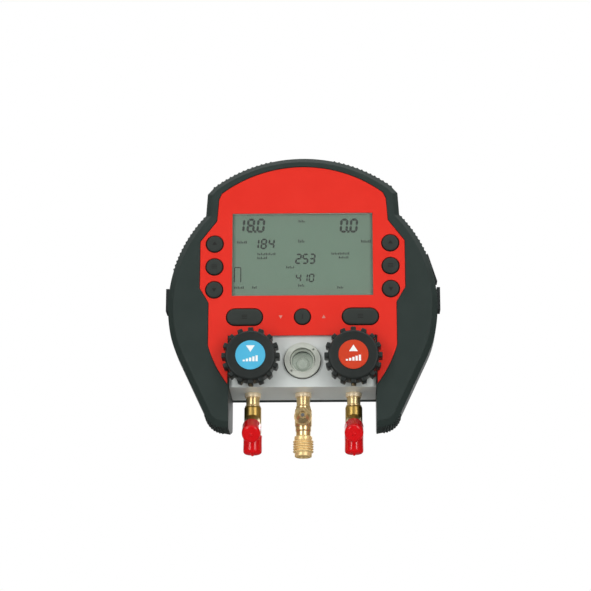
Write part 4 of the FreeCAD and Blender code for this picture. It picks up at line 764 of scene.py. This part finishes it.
turned_piece("sight_glass_chamber", [(chamber_section, GLASS_CENTRE, FRONT)], sight_enamel, "manifold_block")

# %% [markdown]
# ## Brass fittings
# The two outer tees are forged brass with turned ends, and the centre one is machined bright all over. A
# real flare thread is 7/16-20: twenty turns to the inch, so 1.27 mm from crest to crest. Its crests are
# rings here: a helix looks the same from outside and takes many more faces.

# %% Threads and tees
PORT_Y, PORT_LEVEL = -31, -41.8
THREAD_PITCH = 25.4 / 20
PORT_RADIUS, THREAD_DEPTH, CREST_EASE = 5.556, 0.7, 0.05
DOWN = (0, 0, -1)
CAP_ANGLE = math.radians(35)
SLANT = (0, -math.cos(CAP_ANGLE), -math.sin(CAP_ANGLE))


def threaded(start, end, bore):
    """A male flare port's half section: thread crests, then the cone that the hose seals on."""
    root, crest = PORT_RADIUS - THREAD_DEPTH, PORT_RADIUS - CREST_EASE
    points = [(bore, start), (root, start)]
    at = start + 0.3
    while at + THREAD_PITCH < end - 2.6:
        points += [(root, at), (crest, at + THREAD_PITCH * 0.4), (crest, at + THREAD_PITCH * 0.6),
                   (root, at + THREAD_PITCH)]
        at += THREAD_PITCH
    cone = [(PORT_RADIUS - 0.5, end - 2.5), (PORT_RADIUS - 2.6, end, 0.2), (bore, end), (bore, start)]
    return points + cone


stem_section = [(2.4, 31.6), (5.6, 31.6), (6.75, 32.6, 0.8), (6.75, 53.6, 0.7), (6.1, 54.4), (2.4, 54.4)]
branch_section = [(2.0, 1), (5.9, 1), (6.1, 13.6, 0.3), (6.6, 14.2, 0.3), (6.6, 15, 0.3), (2.0, 15)]
neck_section = [(2.4, 14), (4.98, 14), (4.98, 24.4), (5.3, 24.4), (5.3, 30.6, 0.3), (6.2, 31.2, 0.3),
                (6.2, 31.8), (2.4, 31.8)]
for side, sign in SIDES:
    x = VALVE_X * sign
    top, port = (x, PORT_Y, 0), (x, PORT_Y, PORT_LEVEL)
    tee = side + "_tee"
    turned_piece(tee + "_forging", [(stem_section, top, DOWN, True), (branch_section, port, SLANT, True)],
                 forged_brass, tee, True)
    turned_piece(tee + "_turned", [(neck_section, top, DOWN, True),
                                   (threaded(54.3, 67.2, 2.4), top, DOWN, True),
                                   (threaded(14.9, 27.5, 2.0), port, SLANT, True)],
                 bright_brass, tee)

# %% The centre fitting
centre_top, centre_port = (0, PORT_Y, 0), (0, PORT_Y, PORT_LEVEL)
centre_stem = [(2.4, 33.2), (5.8, 33.2), (6.75, 34.4, 0.8), (6.75, 47.2, 0.8), (6.2, 48.0, 0.4),
               (6.2, 51.2, 0.4), (5.75, 52.2, 0.3), (5.75, 55.5), (2.4, 55.5)]
centre_branch = [(3.0, 2), (5.9, 2), (5.9, 8.6, 0.2), (7.0, 9.2, 0.3), (7.0, 10.0, 0.3), (3.0, 10.0)]
centre_neck = [(2.4, 14), (4.98, 14), (4.98, 24.4), (5.3, 24.4), (5.3, 31.2, 0.3), (5.9, 31.8, 0.3),
               (5.9, 33.4), (2.4, 33.4)]
turned_piece("centre_tee_forging",
             [(centre_stem, centre_top, DOWN, True), (centre_branch, centre_port, FRONT, True)],
             bright_brass, "centre_tee", True)
turned_piece("centre_tee_turned",
             [(centre_neck, centre_top, DOWN, True), (threaded(9.9, 17.0, 2.95), centre_port, FRONT, True)],
             bright_brass, "centre_tee")

# %% The lock rings
ring_section = [(5.02, 21), (6.4, 21, 0.3), (6.4, 24.4, 0.5), (5.02, 24.4)]
turned_piece("tee_lock_rings_turned",
             [(ring_section, (x, PORT_Y, 0), DOWN, True) for x in (-VALVE_X, 0, VALVE_X)], pale_brass,
             "tee_lock_rings", True)

# %% [markdown]
# ## Swivel nut
# The nut is gripped by hand, so it has five rings between round grooves, and each ring is knurled with
# small bumps. A bump map would leave the nut's outline smooth, so a column of five bumps, one on each ring,
# is repeated round the axis.

# %% The knurled nut
NUT_TOP = -55.8
RING_COUNT, RING_PITCH, RING_START, GROOVE_RADIUS, BUMP_COUNT = 5, 2.0, 3.3, 6.95, 40
BUMP_RADIUS = 8.12
nut_section = [(3.7, 0), (6.9, 0, 0.5), (7.1, 1.0, 0.3), (7.1, 3.0, 0.2)]
for ring in range(RING_COUNT):
    start = RING_START + ring * RING_PITCH
    nut_section += [(GROOVE_RADIUS, start), (7.6, start + 0.2), (7.9, start + 0.55), (8.0, start + 0.9),
                    (7.9, start + 1.25), (7.6, start + 1.6), (GROOVE_RADIUS, start + 1.8)]
nut_section += [(6.8, 13.5), (6.8, 16.0, 0.6), (6.2, 16.6, 0.3), (5.2, 16.6), (5.05, 16.3), (5.05, 8.2),
                (5.6, 8.2), (5.6, 4.6), (3.7, 4.6)]
bump_rows = [rounded_box("bump", (7.5, -0.3, -(RING_START + ring * RING_PITCH + 1.25)),
                         (BUMP_RADIUS, 0.3, -(RING_START + ring * RING_PITCH + 0.55)), 0.2, 1)
             for ring in range(RING_COUNT)]
knurl = repeat("knurl", "round", line_mesh("one", [(0, 0, 0)]), joined("bumps", *bump_rows), knurled_brass,
               Count=BUMP_COUNT, Axis=(0, 0, 1), Centre=(0, PORT_Y * MM, NUT_TOP * MM))
nut_body = turned("nut_body", (nut_section, (0, PORT_Y, NUT_TOP), DOWN, True))
finished("swivel_nut_knurled", joined("swivel_nut_knurled", nut_body, knurl), knurled_brass, "swivel_nut",
         True)

# %% [markdown]
# ## Vinyl caps
# A dipped cap has a rolled open rim, a wall that swells a little, a round end and the nipple left by the
# last drop. It is round all the way, so one half section is turned four times, open inside for its port.

# %% The four caps
cap_section = [(5.66, 0), (7.2, 0, 0.3), (7.5, 0.6, 0.4), (7.42, 2.0, 1.0), (7.3, 6, 2), (7.48, 11.5, 2.5),
               (7.3, 13.9, 1.6), (5.6, 15.2, 1.4), (2.2, 15.35, 0.6), (1.2, 15.45, 0.3), (0.8, 16.5, 0.3),
               (0, 16.75)]
cap_inside = [(0, 13.1), (5.66, 13.1), (5.66, 0)]
for side, sign in SIDES:
    x = VALVE_X * sign
    for place, origin, axis, start in (("front", (x, PORT_Y, PORT_LEVEL), SLANT, 15.3),
                                       ("bottom", (x, PORT_Y, 0), DOWN, 54.7)):
        points = [(point[0], point[1] + start, *point[2:]) for point in cap_section + cap_inside]
        name = side + "_" + place + "_cap"
        turned_piece(name + "_vinyl", [(points, origin, axis)], cap_vinyl, name, True)

# %% [markdown]
# ## Grip ribs
# Fine ribs run over the housing's edge where a hand holds it: on the flanks, the shoulders of the dome and
# the feet. They show against the white ground, where a bump map would do nothing, so one rib is repeated
# along the outline, split where the two shells meet. The rear shell narrows towards the back, and its ribs
# lean in with it.

# %% Outline runs and ribs
def arc(start, end, bulge, share=(0, 1), steps=40):
    """Points on an arc that stands off its chord by bulge, to the right of the way from start to end."""
    start, end = Vector(start), Vector(end)
    way = end - start
    radius = way.length ** 2 / (8 * bulge) + bulge / 2
    right = Vector((way.y, -way.x)).normalized()
    middle = (start + end) / 2 - right * (radius - bulge)
    first = math.atan2(*(start - middle).yx)
    last = math.atan2(*(end - middle).yx)
    shares = [share[0] + (share[1] - share[0]) * step / steps for step in range(steps + 1)]
    turns = [first + (last - first) * part for part in shares]
    return [middle + Vector((math.cos(turn), math.sin(turn))) * radius for turn in turns]


RIB_FRONT, SPLIT, RIB_BACK = -53.2, -30, -9
REAR_TAPER = 8 / 30
# Each run has its path, the distance between its ribs and how far they stand out.
runs = [(arc((105.2, 26), (77.6, 120.5), 11.4, (0.5, 0.98)), 3.4, 1.0),
        (arc((71, 144.8), (-71, 144.8), 24, (0.0, 0.33)), 3.6, 1.15),
        (arc((64, -52.6), (76.6, -42), 2.4, (0.0, 0.95)), 2.3, 0.7)]
for shell, (start, length, slope) in (("front", (RIB_FRONT, SPLIT - 0.3 - RIB_FRONT, 0)),
                                      ("rear", (SPLIT + 0.3, RIB_BACK - SPLIT, REAR_TAPER))):
    parts = []
    for run, pitch, height in runs:
        section = [(0, 0), (height * 0.6, 0.3), (height, 1.2), (height, length - 1.2),
                   (height * 0.6, length - 0.3), (0, length)]
        shape = bmesh.new()
        lathe(shape, section, (0, start, 0), (0, 1, slope), 10)
        rib = to_mesh("rib", shape, 60)
        for sign in (-1, 1):
            path = line_mesh("run", [(point.x * sign * MM, 0, point.y * MM) for point in run[::sign]])
            parts.append(repeat("ribs", "path", path, rib, shell_abs, Spacing=pitch * MM))
    name = shell + "_grip_ribs"
    finished(name, joined(name, *parts), shell_abs, shell + "_housing")

# %% [markdown]
# ## The back
# Near-black crosses on the screw heads are painted shade for their drive recesses. With finger ribs on the
# battery door and a rating label, they finish the side that the photo doesn't show. They are thin shapes
# laid on the CAD pieces, which keeps those whole and needs no cuts. The shade crosses and the ribs are small
# boxes on spots, as each of them has a place of its own and no path.

# %% Screw drive shade
HEAD_LEVEL = -1.0
ARM_REACH, ARM_HALF = 2.0, 0.45


def shade_cross_arm(half_x, half_z):
    """One arm of a near-black cross, just proud of the screw's head: painted shade for the drive recess."""
    return rounded_box("arm", (-half_x, HEAD_LEVEL - 0.05, -half_z), (half_x, HEAD_LEVEL + 0.03, half_z),
                       0.02, 1)


# The cross is painted shade: near-black seal rubber laid on each head where the recess would be in shadow.
cross = joined("cross", shade_cross_arm(ARM_REACH, ARM_HALF), shade_cross_arm(ARM_HALF, ARM_REACH))
heads = [(54, 135), (86, 20), (64.5, -28), (20, 13), (20, -13)]
spots = [(x * sign * MM, 0, z * MM) for x, z in heads for sign in (-1, 1)]
drive_shade = repeat("screw_drives", "spots", line_mesh("spots", spots), cross, seal_rubber)
finished("screw_drives", drive_shade, seal_rubber, "case_screws")

# %% Door ribs
DOOR_RIB_COUNT, DOOR_RIB_START, DOOR_RIB_PITCH = 5, 81, 2.4
door_rib = rounded_box("door_rib", (-14, -0.1, -0.5), (14, 0.6, 0.5), 0.3)
rows = [(0, 0, (DOOR_RIB_START + DOOR_RIB_PITCH * row) * MM) for row in range(DOOR_RIB_COUNT)]
door_ribs = repeat("door_ribs", "spots", line_mesh("rows", rows), door_rib, shell_abs)
finished("battery_door_ribs", door_ribs, shell_abs, "battery_door")

# %% The rating label
# A polyester label on the back. Its text is rows of plain ticks, which start at +X: the left, seen from
# behind.
LABEL_FACE, LABEL_HALF, LABEL_LOW, LABEL_TOP = 0.12, 39, 39, 56
TEXT_START, TEXT_PITCH, TEXT_TICK, TEXT_HEIGHT = 34, 2.1, 1.3, 1.5
shape = bmesh.new()
rectangle(shape, -LABEL_HALF, LABEL_LOW, LABEL_HALF, LABEL_TOP, LABEL_FACE, -0.05)
finished("rating_label", to_mesh("rating_label", shape), label_film, "rear_housing")
shape = bmesh.new()
for level, count in ((52.2, 15), (48.8, 33), (45.9, 29), (43.0, 31)):
    for number in range(count):
        left = TEXT_START - number * TEXT_PITCH
        top = level + TEXT_HEIGHT * TICK_HEIGHTS[(number * 3) % len(TICK_HEIGHTS)]
        rectangle(shape, left, level, left + TEXT_TICK, top, LABEL_FACE + 0.03, LABEL_FACE)
finished("rating_label_print", to_mesh("rating_label_print", shape), key_ink, "rear_housing")

# %% [markdown]
# ## The studio
# The photo was taken from below the display's middle, by 16 degrees, from about a metre and a half. A
# long lens keeps that view. Two tall soft boxes in front give the pairs of highlights on the red caps, a
# large one above lights the dome, another lights the back, and the white world fills the rest. Cards that
# only reflections see keep the gloss from turning white. The floor lies well below.

# %% Camera
VIEW_DISTANCE = 1.5
VIEW_DOWN = math.radians(16)
VIEW_SIDE = math.radians(1.5)
PANEL_POINT = Vector((0, -58 * MM, 52.3 * MM))
FRAME_PIXELS = 591
SHIFT_PIXELS = -6.9
PIXEL_SIZE = 0.791 * MM
SENSOR_WIDTH = 36

to_camera = Vector((math.sin(VIEW_SIDE) * math.cos(VIEW_DOWN), -math.cos(VIEW_SIDE) * math.cos(VIEW_DOWN),
                    -math.sin(VIEW_DOWN)))
camera = link(bpy.data.objects.new("photo_camera", bpy.data.cameras.new("photo_camera")))
camera.data.sensor_width = SENSOR_WIDTH
camera.data.lens = SENSOR_WIDTH * VIEW_DISTANCE / (FRAME_PIXELS * PIXEL_SIZE)
camera.data.shift_x = SHIFT_PIXELS / FRAME_PIXELS
camera.data.clip_start, camera.data.clip_end = 0.05, 50
camera.location = PANEL_POINT + to_camera * VIEW_DISTANCE
camera.rotation_euler = (-to_camera).to_track_quat("-Z", "Y").to_euler()
bpy.context.scene.camera = camera
print("lens", round(camera.data.lens, 1))

# %% Lights
def soft_box(name, place, aim, size, watts):
    """A rectangular lamp of (width, height) in metres that faces its aim."""
    lamp = link(bpy.data.objects.new(name, bpy.data.lights.new(name, "AREA")))
    lamp.data.shape = "RECTANGLE"
    lamp.data.size, lamp.data.size_y = size
    lamp.data.energy = watts
    lamp.location = place
    lamp.rotation_euler = (Vector(aim) - Vector(place)).to_track_quat("-Z", "Y").to_euler()
    print("lamp", name, watts, "W")


soft_box("left_strip", (-0.75, -1.25, 0.1), (0, 0, 0.03), (0.22, 0.9), 5.5)
soft_box("right_strip", (0.75, -1.25, 0.1), (0, 0, 0.03), (0.22, 0.9), 5.5)
soft_box("top_box", (0.1, -0.7, 1.3), (0, 0, 0.05), (1.2, 0.9), 5)
soft_box("back_box", (0.2, 1.4, 0.9), (0, 0, 0.05), (1.2, 0.9), 13)


# %% Cards that only reflections see
def flag(name, tone, outline):
    """A card that only reflections see, as a studio uses to draw dark lines into metal and gloss."""
    paint = start_material(name, {"Base Color": colour(tone), "Roughness": 0.9})[0]
    mesh = bpy.data.meshes.new(name)
    mesh.from_pydata(outline, [], [(0, 1, 2, 3)])
    card = dress(link(bpy.data.objects.new(name, mesh)), paint)
    for unseen in ("visible_camera", "visible_diffuse", "visible_transmission", "visible_shadow"):
        setattr(card, unseen, False)
    card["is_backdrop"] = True


for name, tone, low, high in (("front_high_flag", "#1c1c1c", 0.62, 1.7),
                              ("front_low_flag", "#303030", -0.4, 0.4)):
    flag(name, tone, [(-1.3, -2.2, low), (1.3, -2.2, low), (1.3, -2.2, high), (-1.3, -2.2, high)])
for side in (-1, 1):
    flag("side_flag", "#3a3833", [(1.4 * side, -1.1, -0.4), (1.4 * side, 1.2, -0.4), (1.4 * side, 1.2, 0.8),
                                  (1.4 * side, -1.1, 0.8)])
flag("under_flag", "#242424", [(-1.2, -1.3, -0.3), (1.2, -1.3, -0.3), (1.2, 0.8, -0.3), (-1.2, 0.8, -0.3)])
flag("rear_low_flag", "#6c7070", [(-1.2, 1.0, -0.4), (1.2, 1.0, -0.4), (1.2, 1.1, -0.05),
                                  (-1.2, 1.1, -0.05)])

# %% The white world
# The world lights the object by this much, and is white where the camera, gloss or glass sees it.
FILL_STRENGTH = 0.4
world = bpy.data.worlds.new("white_studio")
bpy.context.scene.world = world
world.use_nodes = True
world.node_tree.nodes.clear()
ray = add(world.node_tree, "ShaderNodeLightPath").outputs
seen = add(world.node_tree, "ShaderNodeMath", {"operation": "MAXIMUM"},
           {0: ray["Is Camera Ray"], 1: ray["Is Glossy Ray"]})
seen = add(world.node_tree, "ShaderNodeMath", {"operation": "MAXIMUM"},
           {0: seen.outputs[0], 1: ray["Is Transmission Ray"]})
fill = add(world.node_tree, "ShaderNodeMapRange", {"To Min": FILL_STRENGTH, "To Max": 1.0},
           {"Value": seen.outputs[0]})
sky = add(world.node_tree, "ShaderNodeBackground", {"Color": (1, 1, 1, 1)},
          {"Strength": fill.outputs["Result"]})
add(world.node_tree, "ShaderNodeOutputWorld", links={"Surface": sky.outputs[0]})

# %% The floor
FLOOR_HALF, FLOOR_LEVEL, FLOOR_LIFT = 6, -0.42, 0.4
floor_paint, floor_tree, floor_shader = start_material("pale_floor", {
    "Base Color": colour("#f4f4f2"), "Roughness": 0.8})[:3]
# The camera sees the floor a little paler than the light makes it, and the object's shadow stays.
floor_ray = add(floor_tree, "ShaderNodeLightPath").outputs["Is Camera Ray"]
paler = add(floor_tree, "ShaderNodeMath", {"operation": "MULTIPLY", 1: FLOOR_LIFT}, {0: floor_ray})
floor_shader.inputs["Emission Color"].default_value = (1, 1, 1, 1)
floor_tree.links.new(paler.outputs[0], floor_shader.inputs["Emission Strength"])
floor_mesh = bpy.data.meshes.new("floor")
floor_corners = [(FLOOR_HALF * x, FLOOR_HALF * y, FLOOR_LEVEL)
                 for x, y in ((-1, -1), (1, -1), (1, 1), (-1, 1))]
floor_mesh.from_pydata(floor_corners, [], [(0, 1, 2, 3)])
floor = dress(link(bpy.data.objects.new("floor", floor_mesh)), floor_paint)
floor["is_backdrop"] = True

bpy.context.scene.view_settings.view_transform = "Standard"

low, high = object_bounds()
sizes = {"cad": [list(cad_low), list(cad_high)], "visual": [list(low), list(high)]}
